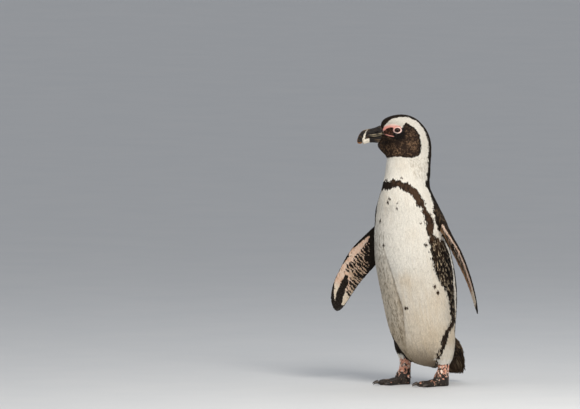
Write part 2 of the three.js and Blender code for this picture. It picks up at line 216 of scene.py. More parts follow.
def solid_points(node):
    """The vertices of a solid, in metres."""
    return read(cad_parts[node].data.vertices, "co", 3)


def read(items, field, width):
    """One field of a Blender collection as rows of numbers."""
    values = np.empty(len(items) * width, np.float32)
    items.foreach_get(field, values)
    return values.reshape(-1, width).astype(float) if width > 1 else values.astype(float)


FLIPPER_LENGTH = 244  # from the shoulder to the tip
# Each flipper's shoulder from the foot of the neck's axis, its axis and the way its leading edge faces.
FLIPPER_POSE = {"left": ((80, 21, 364), (0.556, -0.11, -0.826), (0.6, -0.62, 0.5)),
                "right": ((-60, 21, 362), (-0.525, -0.15, -0.838), (-0.69, -0.52, 0.5))}
FLIPPER_REACH = {"left": 0.968, "right": 1.0}  # share of the full length


def flipper_axes(side):
    """A flipper's shoulder and its directions: along to the tip, across to the front, and out of its back."""
    shoulder, along, across = (np.array(row, float) for row in FLIPPER_POSE[side])
    along = unit(along)
    across = unit(across - along * (across @ along))
    out = np.cross(across, along)
    return NECK_FOOT * (1, 1, 0) + shoulder * MM, along, across, out * np.sign(out[1])


FLIPPER = {side: flipper_axes(side) for side in SIDES}


def flipper_place(p, side):
    """Distance from the shoulder along a flipper, across it to its leading edge, and out of its back."""
    shoulder, along, across, out = FLIPPER[side]
    v = (p - shoulder) / MM
    return v @ along / FLIPPER_REACH[side], v @ across, v @ out


TAIL_TIP = min(solid_points("tail"), key=lambda p: p[2])
# The tail's middle line from its root to its tip: along the bird and up from the tip.
TAIL_PATH = rounded([(-72, 98), (-50, 84), (-29, 67), (-14.5, 46), (-6, 25), (-2, 9), (0, 0)], 3,
                     closed=False)
TAIL_STOPS = np.append(0, np.cumsum(np.hypot(*np.diff(TAIL_PATH, axis=0).T)))
TAIL_LENGTH = TAIL_STOPS[-1]
FOOT_HEADING = unit((-math.sin(math.radians(20)), -math.cos(math.radians(20)), 0))
ANKLE = {side: middle(f"leg_{side}") for side in SIDES}


def tail_place(p):
    """Distance from the tail's root along its bend, distance across it, and its direction there."""
    v = (p - TAIL_TIP) / MM
    _, share = near_line(v[:, 1], v[:, 2], TAIL_PATH)
    at = share * (len(TAIL_PATH) - 1)
    slopes = np.vstack([np.diff(TAIL_PATH, axis=0), TAIL_PATH[-1:] - TAIL_PATH[-2:-1]])
    stops = np.arange(len(TAIL_PATH))
    way = unit(np.stack([at * 0, np.interp(at, stops, slopes[:, 0]), np.interp(at, stops, slopes[:, 1])], 1))
    return np.interp(at, stops, TAIL_STOPS), v[:, 0], way


# ---- What a user may change ----


def size(text, default, about):
    """A length in metres, given in millimetres."""
    return FloatProperty(name=text, description=about, default=default * MM, min=0, unit="LENGTH",
                         precision=4)


def tint(text, default, about):
    """A colour."""
    return FloatVectorProperty(name=text, description=about, default=default, subtype="COLOR", size=3,
                               min=0, max=1)


JOINT_GAP = 0.36


class PenguinSkin(bpy.types.PropertyGroup):
    """Sizes of the skin."""

    voxel: size("Mesh size", 1.5, "Edge length of the skin's first mesh")
    joint_gap: size("Joint gap", JOINT_GAP, "How far each solid grows so that neighbours join")
    lid: size("Lid thickness", 0.9, "Thickness of the eyelids over the eyeball")
    triangles: IntProperty(name="Triangles", description="Triangles of the skin before the face is refined",
                           default=92000, min=20000)


class PenguinCoat(bpy.types.PropertyGroup):
    """Spacing of the feathers, and how much they vary."""

    face: size("Face spacing", 0.68, "Distance between feathers on the head")
    neck: size("Neck spacing", 1.12, "Distance between feathers on the neck")
    body: size("Body spacing", 1.42, "Distance between feathers on the body")
    flipper: size("Flipper spacing", 1.02, "Distance between feathers on the flippers")
    thigh: size("Thigh spacing", 1.3, "Distance between feathers on the thighs")
    tail: size("Tail spacing", 1.5, "Distance between feathers on the tail")
    scute: size("Scute spacing", 1.75, "Distance between the scutes of legs and feet")
    vary: FloatProperty(name="Variation", description="Share by which feathers differ in size", default=0.16,
                        min=0, max=0.6, subtype="FACTOR")
    sway: FloatProperty(name="Sway", description="How far feathers turn aside", default=0.16, subtype="ANGLE")
    patch: FloatProperty(name="Bake patch", description="Width of a feather's patch on the bake map",
                         default=0.003, min=0.0005)


class PenguinColours(bpy.types.PropertyGroup):
    """Colours of coat and bare skin."""

    white: tint("White", (0.80, 0.765, 0.69), "White feathers")
    tan: tint("Tan", (0.61, 0.47, 0.30), "Stained feathers low on the belly")
    shade: tint("Grey", (0.19, 0.150, 0.100), "Grey streaks in the white")
    dark: tint("Dark", (0.009, 0.007, 0.006), "Feathers of back, tail and crown")
    brown: tint("Brown", (0.095, 0.060, 0.036), "Worn tips of dark feathers")
    chest: tint("Chest band", (0.062, 0.034, 0.019), "Feathers of the band")
    mask: tint("Mask", (0.023, 0.014, 0.010), "Feathers of the face")
    speck: tint("Mask specks", (0.175, 0.105, 0.060), "Pale specks on the face")
    pink: tint("Pink", (0.66, 0.27, 0.22), "Bare skin of the face")
    ring: tint("Eye ring", (0.80, 0.56, 0.49), "Bare ring round the eye")
    lore: tint("Lore", (0.030, 0.014, 0.010), "Between eye and bill")
    leg: tint("Leg", (0.74, 0.355, 0.24), "Pink of legs and feet")
    foot: tint("Foot", (0.014, 0.010, 0.008), "Black of legs and feet")
    under: tint("Under flipper", (0.76, 0.51, 0.37), "Pale underside of the flippers")
    bill: tint("Bill", (0.011, 0.009, 0.008), "Horn of the bill")
    band: tint("Bill band", (0.62, 0.57, 0.48), "Pale bar near the bill's tip")
    horn: tint("Hook", (0.24, 0.105, 0.036), "Edge of the hook")
    iris: tint("Iris", (0.045, 0.013, 0.007), "Iris of the eye")


class PenguinStage(bpy.types.PropertyGroup):
    """Camera and light."""

    azimuth: FloatProperty(name="Azimuth", description="Way round the bird from its chest",
                           default=math.radians(40), subtype="ANGLE")
    elevation: FloatProperty(name="Elevation", description="Camera above the horizon",
                             default=math.radians(4), subtype="ANGLE")
    lens: FloatProperty(name="Lens", description="Focal length in millimetres", default=1200, min=1)
    key: FloatProperty(name="Key light", description="Strength of the large light in watts",
                       default=50, min=0)
    fill: FloatProperty(name="Sky light", description="Strength of the pale sky", default=0.46, min=0)


# ---- Marks of the coat ----
# Outlines on the head are [ahead, up]; outlines on the body are [degrees round it, height].

MASK = rounded([(-4, 6), (-9, 5), (-13, 10), (-18.7, 17), (-27, 12), (-36, 6.5), (-44, -2), (-48.5, -11),
                (-51.7, -29), (-51, -42), (-49, -53), (-40, -57), (-28, -59.5), (-10, -57), (8, -57.5),
                (24, -61), (46, -50), (47, -28), (39, -12.5), (27, -8.5), (14, -9), (8, -7), (2, -9)], 3)
LORES = rounded([(35, -7), (28, -0.5), (23, 3.5), (17, 6), (11.5, 6.5), (8.4, 4), (8.6, -6), (12, -10.5),
                 (20, -10), (28, -9.5)])
PINK_ARC = rounded([(33, -2), (32, 4.5), (26.5, 9.5), (17, 13.6), (8, 14.6), (0, 12.3), (-6.5, 9.8),
                    (-9.5, 4), (-5, 0), (3, -3), (7.5, -5), (10.5, -4), (10, 3), (13, 5), (18, 5), (24, 2),
                    (29, -2)])
PINK_LINE = rounded([(28, -8.6), (26.5, -10.4), (18, -12.9), (8.5, -13.9), (9, -12.2), (18, -10.6)])
CROWN_EDGE = rounded([(60, -3), (36, -2), (32, 3.5), (29, 8), (23.5, 15), (18.3, 20.8), (12, 24.2),
                      (5, 26.4), (-5.5, 28.8), (-20.7, 28.2), (-33, 24.0), (-46, 15.0), (-58.5, 1.0),
                      (-67.5, -19), (-71, -42), (-70, -66), (-130, -66), (-130, 80), (60, 80)], 3)
BAND_OUTER = ((62, 40), (68, 65), (73, 76), (79, 90), (84, 103), (89, 115), (93, 125), (112, 139),
              (112, 154), (108, 179), (106, 202), (106, 226), (108, 246), (110, 275), (108, 302), (102, 318),
              (91, 328), (82, 336), (83, 345), (86, 356), (88.5, 367), (88.5, 378), (83, 388), (80, 393),
              (86, 406), (85.5, 416), (88, 426), (88, 433), (81.5, 441.5), (75, 445), (68, 451), (54, 451),
              (45, 456), (32, 457.5), (13, 457))
BAND_INNER = ((54, 40), (65, 65), (69, 76), (73, 90), (76, 105), (81, 121), (95, 147), (91, 174), (91, 187),
              (86, 212), (78.5, 228), (74, 244), (70, 270), (68, 295), (70, 303), (69, 323), (71, 340),
              (69.5, 350), (71, 361), (69.3, 368), (71, 380), (69.6, 389), (70, 396), (64, 405), (62.5, 416),
              (61, 426), (56, 433), (45, 435.5), (36.5, 442), (24, 440), (5, 435.5), (-8, 435.5))
BAND_SLIP = 4  # the right half of the band sits this much lower
BAND_RIGHT = ((-30, 50), (-27, 70), (-30, 84), (-36, 95), (-43, 105), (-54, 122), (-80, 150), (-80, 200),
              (-74, 250), (-64, 296), (-58, 325), (-54, 346), (-50.5, 362), (-48.5, 385), (-46.5, 400),
              (-45, 412), (-41, 424), (-30, 431), (-20, 435))
BACK_EDGE = ((40, 113), (90, 113), (120, 112), (150, 116), (189, 117), (234, 114), (274, 117), (300, 116),
             (330, 104), (356, 93), (382, 93), (398, 98), (402, 107), (412, 116), (423, 123), (435, 125),
             (444, 123), (457, 136), (477, 152), (503, 162), (600, 162))
SPOTS = ((462, 57, 2.2), (417, 6, 2.7), (408, -1, 2.5), (407.5, 23, 3.1), (397, 20.8, 3.1), (366, -27, 3.8),
         (313.5, -13.5, 3.6), (365, 62.5, 2.4), (317, 62.8, 4.2), (302, 65, 2.8), (224.6, 66.5, 4.2),
         (211, 70.5, 4), (176, 16, 4.4), (300, -48, 2.4), (150, -35, 2.4), (236, -78, 3))
CREASE = rounded([(-12, 305), (-7, 282), (-1.5, 255), (0.5, 235), (2.5, 215), (5.7, 193), (8, 175),
                  (6.7, 157), (4.5, 137), (0.8, 107), (-5, 84)], 3, closed=False)


def both_sides(outer, inner, slip):
    """The band's closed outline over both flanks."""
    right = [(-x, y - slip) for x, y in outer]
    return rounded(list(outer) + right[::-1] + list(BAND_RIGHT) + list(inner)[::-1], 2)


BAND = both_sides(BAND_OUTER, BAND_INNER, BAND_SLIP)
# Finer tones of the marks, beside the colours that a user may change.
LORE_FLECK = (0.17, 0.070, 0.042)
RING_UNDERSHADE = (0.008, 0.006, 0.006)
LID_MARGIN = (0.016, 0.008, 0.008)
RUFFLED_SHADE = (0.42, 0.32, 0.19)
FOLD_SHADE = (0.24, 0.18, 0.12)
FOLD_SIDE_SHADE = (0.36, 0.29, 0.20)
NAPE_FLECK = (0.36, 0.30, 0.22)
LOW_BROWN = (0.15, 0.098, 0.048)
BAND_TIP = (0.14, 0.088, 0.052)
FLANK_FLECK = (0.50, 0.40, 0.275)
GREY_EDGE = (0.22, 0.185, 0.15)
UNDER_FLECK = (0.45, 0.26, 0.15)
UNDER_TAN = (0.40, 0.285, 0.175)
UNDER_CREAM = (0.78, 0.69, 0.55)
UNDER_HEM = (0.30, 0.15, 0.06)
WORN_ROOT = (0.15, 0.105, 0.065)
FOOT_BROWN = (0.060, 0.042, 0.032)
PALE_SCUTE = (0.24, 0.17, 0.11)
LEG_HIGHLIGHT = (0.95, 0.76, 0.64)
TAIL_FLECK = (0.22, 0.17, 0.11)
# Soft patches: the middle, as [ahead, up] on the head, [across, up] on the unrolled body and [along, across]
# on a flipper, then the width and, where it differs, the height. The last two also have their strength.
PALE_CHEEK = (-9, -42, 18)
DARK_CHIN = (22, -27, 16)
BELLY_TAN_PATCH = (30, 240, 16, 18)
BUSY_MIDDLE = (108, 9, 30, 12)
THIN_DASHES = ((0.6, (152, 13, 7, 7)), (0.35, (125, -9, 12, 8)))


def paint(colours, colour, share):
    """Lays a colour over rows of colours."""
    share = np.asarray(share, float)[:, None]
    return colours * (1 - share) + np.asarray(colour, float) * share


def between(colour, other, share):
    """Rows of colours from one colour to another by share."""
    return paint(np.tile(colour, (len(share), 1)), other, share)


def unrolled(across, height):
    """Places on the unrolled body, for noise."""
    return np.stack([across, np.zeros(len(height)), height], 1)


BELLY_RADIUS = 80


def beside_crease(angle, height):
    """Distance from the fold of the belly, the side of it (1 towards the left), and how far along it."""
    scale = math.pi / 180 * BELLY_RADIUS
    line = CREASE * (scale, 1)
    fold, run = near_line(angle * scale, height, line)
    return fold, np.sign(angle * scale - np.interp(-height, -CREASE[:, 1], line[:, 0])), run


EYE_OPENING = (6.0, 4.9)  # half length and half height of the opening between the lids
EYE_RING = (9.6, 7.3)  # the same of the bare ring round them
EYE_RISE = 0.8  # the opening's middle lies this far above the eyeball's


def eye_place(p):
    """Place round the nearer eye: share of the way from the lids' edge (0) to the ring's edge (1), distance
    from the eye's own axis, distance out along it, and that axis. Away from the eyes the share is large."""
    left = (p - HEAD_MIDDLE) @ LEFTWARDS > 0
    centre = np.where(left[:, None], EYE["left"], EYE["right"])
    out = np.where(left[:, None], LEFTWARDS, -LEFTWARDS)
    v = (p - centre) / MM
    ahead, deep = v @ FORWARDS, (v * out).sum(1)
    aside = np.maximum(np.hypot(ahead, v[:, 2]), 1e-6)
    high = v[:, 2] - EYE_RISE
    far = np.maximum(np.hypot(ahead, high), 1e-6)
    opening = far / np.hypot(ahead / EYE_OPENING[0], high / EYE_OPENING[1])
    ring = far / np.hypot(ahead / EYE_RING[0], high / EYE_RING[1])
    share = np.where(deep > 1, (far - opening) / (ring - opening), 9)
    return share, aside, deep, out


def face_shares(p):
    """How much of each bare patch a point of the head has: ring, arc, lores, line."""
    ahead, up, _ = head_place(p)
    ring = smoothstep(1.10, 0.98, eye_place(p)[0])
    arc = smoothstep(-0.5, 1.2, depth_in(ahead, up, PINK_ARC))
    lores = smoothstep(-0.4, 0.4, depth_in(ahead, up, LORES))
    line = smoothstep(-0.5, 0.5, depth_in(ahead, up, PINK_LINE))
    return ring, arc, lores, line


def head_colours(p, colours, tone, luck):
    """Mask, crown stripe and bare skin of the head."""
    jag = np.stack([noise(p, 2.2 * MM, s) * 0.7 + noise(p, 5 * MM, s + 5) * 0.9 for s in (1, 2)], 1)
    jag[:, 0] += (luck - 0.5) * 1.4
    ahead, up, _ = head_place(p)
    a, u = ahead + jag[:, 0], up + jag[:, 1]
    # Painted shade: the colours of the head are darkened towards its top, to tone down the light that falls
    # from above.
    colours = colours * (1 - 0.15 * smoothstep(-75, -30, up))[:, None]
    deep = depth_in(a, u, MASK)
    edge = smoothstep(11, 1.5, deep) * smoothstep(10, -15, ahead)
    eye_shade = smoothstep(20, 11, np.hypot(ahead + 2, up + 8))
    lively = 1.0 * noise(p, 2.4 * MM, 8) + 0.6 * noise(p, 1.3 * MM, 10) + 0.45 * noise(p, 9 * MM, 9)
    lively += (luck - 0.5) * 1.5
    mask = between(tone.mask, tone.speck, smoothstep(0.05, 1.05, lively))
    paler, deeper = (soft_patch(ahead, up, *patch) for patch in (PALE_CHEEK, DARK_CHIN))
    mask *= (1 + 0.30 * paler - 0.72 * deeper)[:, None]
    mask = paint(mask, tone.dark, np.clip(edge * 0.8 + eye_shade * 0.95, 0, 1))
    colours = np.where((deep > 0)[:, None], mask, colours)
    crown = depth_in(a, u, CROWN_EDGE) > 0
    colours = np.where(crown[:, None], between(tone.dark, tone.brown, luck * 0.25), colours)
    ring, arc, lores, line = face_shares(p)
    fade = smoothstep(16, 6, up) * 0.75 + 0.25
    colours = paint(colours, tone.pink, arc * fade * ~crown)
    colours = paint(colours, tone.lore, lores)
    flecks = np.clip(noise(p, 2.2 * MM, 4) * 1.5 + luck - 0.4, 0, 1)
    colours = paint(colours, LORE_FLECK, lores * flecks)
    colours = paint(colours, tone.pink, line * 0.8)
    blush = smoothstep(-6, 10, ahead) * smoothstep(-8, 6, up)
    colours = paint(colours, between(tone.ring, tone.pink, blush * 0.7), ring)
    share = eye_place(p)[0]
    # Painted shade: a dark crescent on the feathers below and behind the bare ring, under its puffy edge.
    rim = window(share, (0.98, 1.06), (2.7, 1.9)) * smoothstep(2.5, -0.5, up + 0.45 * ahead)
    colours = paint(colours, RING_UNDERSHADE, rim)
    return paint(colours, LID_MARGIN, smoothstep(0.24, 0.10, share))


def white_colours(p, part, place, tone, luck):
    """White feathers: tan low down and darker brown towards the bottom, ruffled and with painted shade beside
    the belly's fold, flecked on the nape.
    """
    height, angle, round_it = place
    colours = np.tile(tone.white, (len(p), 1))
    flat = unrolled(round_it, height)
    streak = noise(flat, (2.6, 1, 26), 31) * 0.6 + 0.6 * noise(flat, (5, 1, 40), 32)
    stain = smoothstep(320, 80, height) * 0.64 + noise(p, 38 * MM, 33) * 0.16 + streak * 0.12
    # A soft tan patch beside the belly's fold.
    stain += 0.35 * soft_patch(round_it, height, *BELLY_TAN_PATCH)
    colours = paint(colours, tone.tan, np.clip(stain, 0, 1) * 0.9)
    # Towards the bird's right of the belly's fold, ruffled feathers show their grey bases, and painted shade
    # darkens and warms that side, away from the key light.
    fold, fold_side, run = beside_crease(angle, height)
    ruffled_and_shaded = smoothstep(3, -3, fold * fold_side) * smoothstep(100, 70, np.abs(angle))
    ruffled_and_shaded *= smoothstep(400, 300, height)
    ruffled_and_shaded *= 1 - 0.45 * smoothstep(12, 3, fold) * (run > 0)
    colours = paint(colours, RUFFLED_SHADE, ruffled_and_shaded * 0.30 * smoothstep(340, 230, height))
    comb = noise(unrolled(round_it + height * 0.4, height), (2.0, 1, 3.6), 35)
    grey = np.clip(streak * 0.8, 0, 1) * 0.25 + smoothstep(0.0, 0.55, comb + streak * 0.25) * 0.7
    colours = paint(colours, tone.shade, grey * (0.04 + 0.90 * ruffled_and_shaded))
    length = np.sin(np.clip(run, 0, 1) * math.pi)
    # Painted shade down the fold of the belly, and a broader painted shade beside it towards the bird's
    # right.
    colours = paint(colours, FOLD_SHADE, bell(fold, 2.4) * length**0.5 * 0.75)
    colours = paint(colours, FOLD_SIDE_SHADE, bell(fold, 10) * (fold_side < 0) * length * 0.30)
    nape = smoothstep(88, 108, np.abs(angle)) * window(height, (455, 466), (512, 502))
    comb = noise(flat, (1.3, 1, 3.4), 34)
    colours = paint(colours, NAPE_FLECK, smoothstep(0.0, 0.6, comb + (luck - 0.5) * 0.3) * nape * 0.55)
    # Darker brown towards the bottom of the white.
    hem = smoothstep(108, 50, height + streak * 8) * ((part == TRUNK) | (np.abs(angle) < 54))
    return paint(colours, LOW_BROWN, hem * 0.62)


def band_colours(p, place, deep, tone, other):
    """Brown feathers of the chest band, and dark ones with pale flecks where it runs down the flank."""
    height, angle, _ = place
    ink = between(tone.chest, tone.dark, smoothstep(5, 0.5, deep) * 0.5 + 0.3 * other)
    ink = paint(ink, BAND_TIP, smoothstep(0.55, 1, other) * 0.5)
    uneven = (0.85 + 0.4 * noise(p, 6 * MM, 25)).clip(0, 1)
    ink = paint(ink, tone.dark, window(height, (70, 190), (335, 290)) * uneven)
    ink = paint(ink, tone.dark, smoothstep(38, 12, angle) * 0.85)
    ink = paint(ink, tone.dark, smoothstep(0.0, 0.35, noise(p, 6 * MM, 29) + (other - 0.5) * 0.6) * 0.7)
    flecked = smoothstep(1, 7, deep) * window(height, (120, 200), (352, 318))
    fleck = noise(p, 2.2 * MM, 26) + 0.5 * noise(p, 4.4 * MM, 27) + (other - 0.5) * 0.9
    return paint(ink, FLANK_FLECK, smoothstep(0.42, 0.62, fleck) * flecked)


def body_colours(p, part, tone, luck):
    """White, tan, band, spots and back of head, neck, trunk and thighs."""
    height, angle, radius = body_place(p)
    place = height, angle, angle * radius * math.pi / 180
    per = 180 / math.pi / np.maximum(radius, 10)
    fine = np.array((3, 3, 3.6)) * MM
    calm = 0.4 + 0.6 * smoothstep(105, 150, height)
    jag_x = (noise(p, fine, 21) * 2.6 + noise(p, 9 * MM, 22) * 2.2 + (luck - 0.5) * 4.6) * calm
    jag_y = (noise(p, fine, 23) * 3.4 + noise(p, 9 * MM, 24) * 2.6) * calm
    other = luck * 7.31 % 1
    colours = white_colours(p, part, place, tone, luck)
    stretch = 1.4  # degrees count for this many millimetres, as they do on the body
    deep = depth_in((angle + jag_x * per) * stretch, height + jag_y, BAND * (stretch, 1))
    colours = np.where((deep > 0)[:, None], band_colours(p, place, deep, tone, other), colours)
    greyish = smoothstep(-4.5, -1, deep) * (deep < 0) * window(height, (180, 215), (345, 320))
    colours = paint(colours, GREY_EDGE, greyish * smoothstep(-0.2, 0.5, noise(p, 5 * MM, 28)) * 0.8)
    for spot_height, spot_angle, spot_radius in SPOTS:
        # Feathers are long, so a spot is laid out lower than it comes out.
        squat = 1.5 if spot_radius < 3.2 else 1.2
        above = (height - spot_height + jag_y * 0.15) * squat
        far = np.hypot((angle - spot_angle) / per + jag_x * 0.2, above)
        halo = 0.5 * smoothstep(spot_radius + 1.6, spot_radius, far) * (spot_radius > 3.9)
        colours = paint(colours, GREY_EDGE, halo)
        colours = paint(colours, between(tone.dark, tone.chest, other), far < spot_radius + 0.45)
    back = np.abs(angle) + jag_x * per > np.minimum(interpolated(height, BACK_EDGE), 179)
    return np.where(back[:, None], between(tone.dark, tone.brown, other * 0.16), colours)


CUFF = 8  # height of the thigh's white cuff over the top of the leg
CUFF_RADIUS = 22


def thigh_colours(p, side, tone, luck, colours):
    """White outside, dark in front and inside, with a white cuff."""
    height, angle, _ = body_place(p)
    round_it = np.abs(angle)
    wander = noise(p, 6 * MM, 41) * 2.5 + (luck - 0.5) * 3
    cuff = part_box(f"leg_{side}")[1].z / MM + CUFF
    slip = 0 if side == "left" else BAND_SLIP
    edge, front = (np.interp(height + slip, [y for _, y in rows], [x for x, _ in rows])
                   for rows in (BAND_OUTER, BAND_INNER))
    front = front - 3 if side == "left" else 0
    # Painted light: the white outside of the thigh is lightened low down, against the shade that falls there.
    outside = (round_it > edge) & (colours.mean(1) > 0.25)
    colours = paint(colours, tone.white, 0.45 * smoothstep(105, 75, height) * outside)
    dark = (round_it + wander < edge) & (round_it + wander > front) & (height > cuff + wander)
    clean = between(tone.white, tone.tan, 0.05 + 0.2 * noise(p, 9 * MM, 42).clip(0, 1))
    by_leg = np.linalg.norm((p - ANKLE[side]) * (1, 1, 0), axis=1) < CUFF_RADIUS * MM
    colours = np.where((by_leg & (height < cuff + wander))[:, None], clean, colours)
    return np.where(dark[:, None], between(tone.dark, tone.brown, luck * 0.4), colours)


# Marks of a flipper's underside are [distance along, distance across].
LEADING = ((0, 17), (30, 24), (58, 31), (84, 38), (110, 42), (135, 42), (160, 40), (184, 38), (204, 33),
           (219, 27), (231, 19), (239, 10.5), (244, 2))
TRAILING = ((0, -15), (30, -21), (58, -25), (84, -26.5), (110, -24.5), (135, -20), (160, -16), (184, -14.5),
            (204, -14), (219, -13.5), (231, -12), (239, -9), (244, -5))
PATCH = rounded([(163, 18), (176, 14.5), (193, 12.5), (208, 9), (224, 3)], 3, closed=False)
PALE_EDGE = ((40, 18), (57, 19), (71, 20), (84, 22), (98, 23), (107, 25), (120, 27), (130, 28), (142, 31),
             (150, 29), (157, 20), (164, 9), (200, 5), (244, 2))
DARK_EDGE = ((30, 11), (54, 8), (66, 6.5), (80, 6), (94, 4.7), (100, 2), (104, 1.4), (117, 1.4), (120, 5),
             (127, 5), (141, 3), (144, 1.6), (160, 1.8), (176, 1.8), (188, 2.8), (199, 5.5), (213, 8.7),
             (223, 11.6), (244, 14))
BLOTCH = rounded([(206, 3), (200, -1), (200, -6), (207, -9.5), (217, -8), (213, -3)], 3)
LAST_BAR = np.array([(192, -1), (199, -15)])
TIP_START = 223  # the tip is black from here on
ROOT_EDGE = 46  # the right one's root is black up to here, along a slanted line
ROOT_SLANT = (0.49, 0.872)
DASH_SLANT = (0.27, 0.96)
DASH_SPACING = 7.0
# A flipper's marked side is where its surface faces the back less than this.
UNDERSIDE = {"left": -0.35, "right": 0.12}
# On the left flipper the pale streak starts and ends this far inside the leading edge, and its hem is brown.
STREAK_START = ((0, 3), (60, 2.5), (90, 2.5), (130, 4), (160, 5.5), (244, 5))
STREAK_END = ((0, 8), (90, 9), (125, 13), (160, 20), (200, 21), (244, 22))
LEFT_HEM = ((27, 5), (48, 0), (67, -8), (93, -11), (112, -6), (142, 4), (168, 9), (244, 6))


def dashed_ink(along, across, wave, stroke, inner):
    """Where the right flipper's underside is black, and its brown hem; inner is the depth in the dashes."""
    lead, trail = interpolated(along, LEADING), interpolated(along, TRAILING)
    slanted = along * ROOT_SLANT[0] + across * ROOT_SLANT[1]
    middle_part = np.maximum(smoothstep(76, 46, slanted), soft_patch(along, across, *BUSY_MIDDLE))
    busy = smoothstep(-1, 2.5, inner) * (0.76 + 0.24 * middle_part) * smoothstep(196, 190, along)
    for share, patch in THIN_DASHES:
        busy *= 1 - share * soft_patch(along, across, *patch)
    black = stroke > 1.02 - 1.20 * busy
    patch, reach = near_line(along, across, PATCH)
    black |= patch < 7.9 + wave * 1.2 - 3.6 * smoothstep(0.25, 0, reach)
    black |= along + wave * 2 > TIP_START
    black |= near_line(along, across, LAST_BAR)[0] < 2.3 + wave * 0.8
    black &= depth_in(along, across + wave, BLOTCH) < 0
    black |= lead - across < interpolated(along, DARK_EDGE) + wave * 0.8
    black |= (across - trail < 3.0 + wave) & (along > 196)
    black |= slanted < ROOT_EDGE + wave * 3
    return black, smoothstep(3.5, 0.8, across - trail) * 0.5


def streaked_ink(along, across, wave, stroke):
    """Where the left flipper's underside is black, and its brown hem."""
    rim = interpolated(along, LEADING) - across
    over_hem = across - interpolated(along, LEFT_HEM)
    black = rim < interpolated(along, STREAK_START) + wave
    black |= (rim > interpolated(along, STREAK_END) + wave * 2) & (over_hem > 1 + wave * 3) & (stroke > -0.2)
    black |= (along < 14 + wave * 5) | (along > TIP_START)
    return black, smoothstep(8, 2, over_hem) * 0.85


def flipper_colours(p, side, tone, luck, facing):
    """Black back, and a pale underside with dashes, a long black patch and black edges."""
    along, across, _ = flipper_place(p, side)
    under = (facing @ FLIPPER[side][3]) < UNDERSIDE[side]
    wave = noise(p, 5 * MM, 51)
    # Dashes cross the flipper from the pale strip to the trailing edge, leaning towards the tip.
    lean, cross = DASH_SLANT
    run, row = along * lean - across * cross, (along * cross + across * lean + wave * 2.2) / DASH_SPACING
    line = np.floor(row)
    stroke = noise(np.stack([run, line * 7.7, line * 0], 1), (9, 1, 1), 52) * 0.55
    stroke += 0.87 - 2.4 * np.abs(row - line - 0.5) + 0.18 * noise(p, 2.0 * MM, 53)
    inner = interpolated(along, PALE_EDGE) + wave * 1.6 - across
    if side == "left":
        black, hem = streaked_ink(along, across, wave, stroke)
    else:
        black, hem = dashed_ink(along, across, wave, stroke, inner)
    pale = between(tone.under, tone.white, np.clip(0.45 + 0.6 * wave + (luck - 0.5), 0, 1) * 0.45)
    flecks = noise(p, np.array((2.4, 2.4, 5)) * MM, 55)
    pale = paint(pale, UNDER_FLECK, smoothstep(0.22, 0.6, flecks) * 0.55)
    pale = paint(pale, UNDER_TAN, smoothstep(2, 12, inner) * (0.55 + 0.35 * noise(p, 4 * MM, 54)))
    pale = paint(pale, UNDER_CREAM, smoothstep(180, 200, along) * 0.8)
    pale = paint(pale, UNDER_HEM, hem * smoothstep(200, 180, along))
    ink = between(tone.dark, tone.brown, luck * 0.16)
    worn = smoothstep(34, 4, along) * smoothstep(0.0, 0.6, noise(p, np.array((2.6, 2.6, 10)) * MM, 56))
    ink = paint(ink, WORN_ROOT, worn * 0.45 * (along > -30))
    return np.where((under & ~black)[:, None], pale, ink)


# The share of pink scutes at each height.
PINK_SHARE = ((0, 0.03), (8, 0.08), (16, 0.22), (27, 0.42), (42, 0.60), (52, 0.74), (62, 0.85))


def leg_colours(p, tone, luck):
    """Pink shanks with black scutes, and black feet with pink ones."""
    share = interpolated(p[:, 2] / MM, PINK_SHARE)
    blot = 0.5 + 0.42 * noise(p, 4.2 * MM, 61) + 0.34 * noise(p, 2.1 * MM, 62) + (luck - 0.5) * 0.35
    hallux = np.minimum.reduce([np.linalg.norm(p - middle(f"claw_{s}_hind"), axis=1) for s in SIDES]) / MM
    share = np.maximum(share, smoothstep(13, 8, hallux))
    colours = between(tone.foot, FOOT_BROWN, luck * 0.5)
    pale = smoothstep(0.55, 0.85, noise(p, 1.8 * MM, 64) + (luck - 0.5) * 0.5)
    colours = paint(colours, PALE_SCUTE, pale)
    # Painted highlights: pale patches over the pink of the legs and feet.
    flesh = between(tone.leg, LEG_HIGHLIGHT, smoothstep(0.0, 0.55, noise(p, 3.4 * MM, 63) + (luck - 0.5) * 0.5))
    return paint(colours, flesh, smoothstep(0.03, -0.03, blot - share))


FLIPPER_START = {"left": -50, "right": -4}  # short of this along a flipper its root is marked as the body


def markings(p, part, facing, luck):
    """The colour at each point of skin or coat: p in metres, part its number in FLESH, facing its normal."""
    tone = bpy.context.scene.penguin_colours
    colours = np.zeros((len(p), 3))
    body = np.isin(part, (HEAD, NECK, TRUNK)) | belongs(part, "thigh")
    colours[body] = body_colours(p[body], part[body], tone, luck[body])
    head = (part == HEAD) | ((part == NECK) & (p[:, 2] > HEAD_MIDDLE[2] - 70 * MM))
    colours[head] = head_colours(p[head], colours[head], tone, luck[head])
    tail = part == TAIL
    ends = smoothstep(70, TAIL_LENGTH, tail_place(p[tail])[0])
    fleck = luck[tail] ** 1.5 * 0.9 + ends * 0.35
    colours[tail] = between(tone.dark, tone.brown, np.clip(fleck, 0, 1))
    colours[tail] = paint(colours[tail], TAIL_FLECK, (luck[tail] * 5.17 % 1 > 0.84) * 0.8)
    for side in SIDES:
        own = part == number("flipper", side)
        colours[own] = flipper_colours(p[own], side, tone, luck[own], facing[own])
        own &= flipper_place(p, side)[0] < FLIPPER_START[side]
        colours[own] = body_colours(p[own], part[own], tone, luck[own])
        own = part == number("thigh", side)
        colours[own] = thigh_colours(p[own], side, tone, luck[own], colours[own])
        own = (part == number("leg", side)) | (part == number("foot", side))
        colours[own] = leg_colours(p[own], tone, luck[own])
    return np.clip(colours, 0, 1)


# ---- Meshes ----


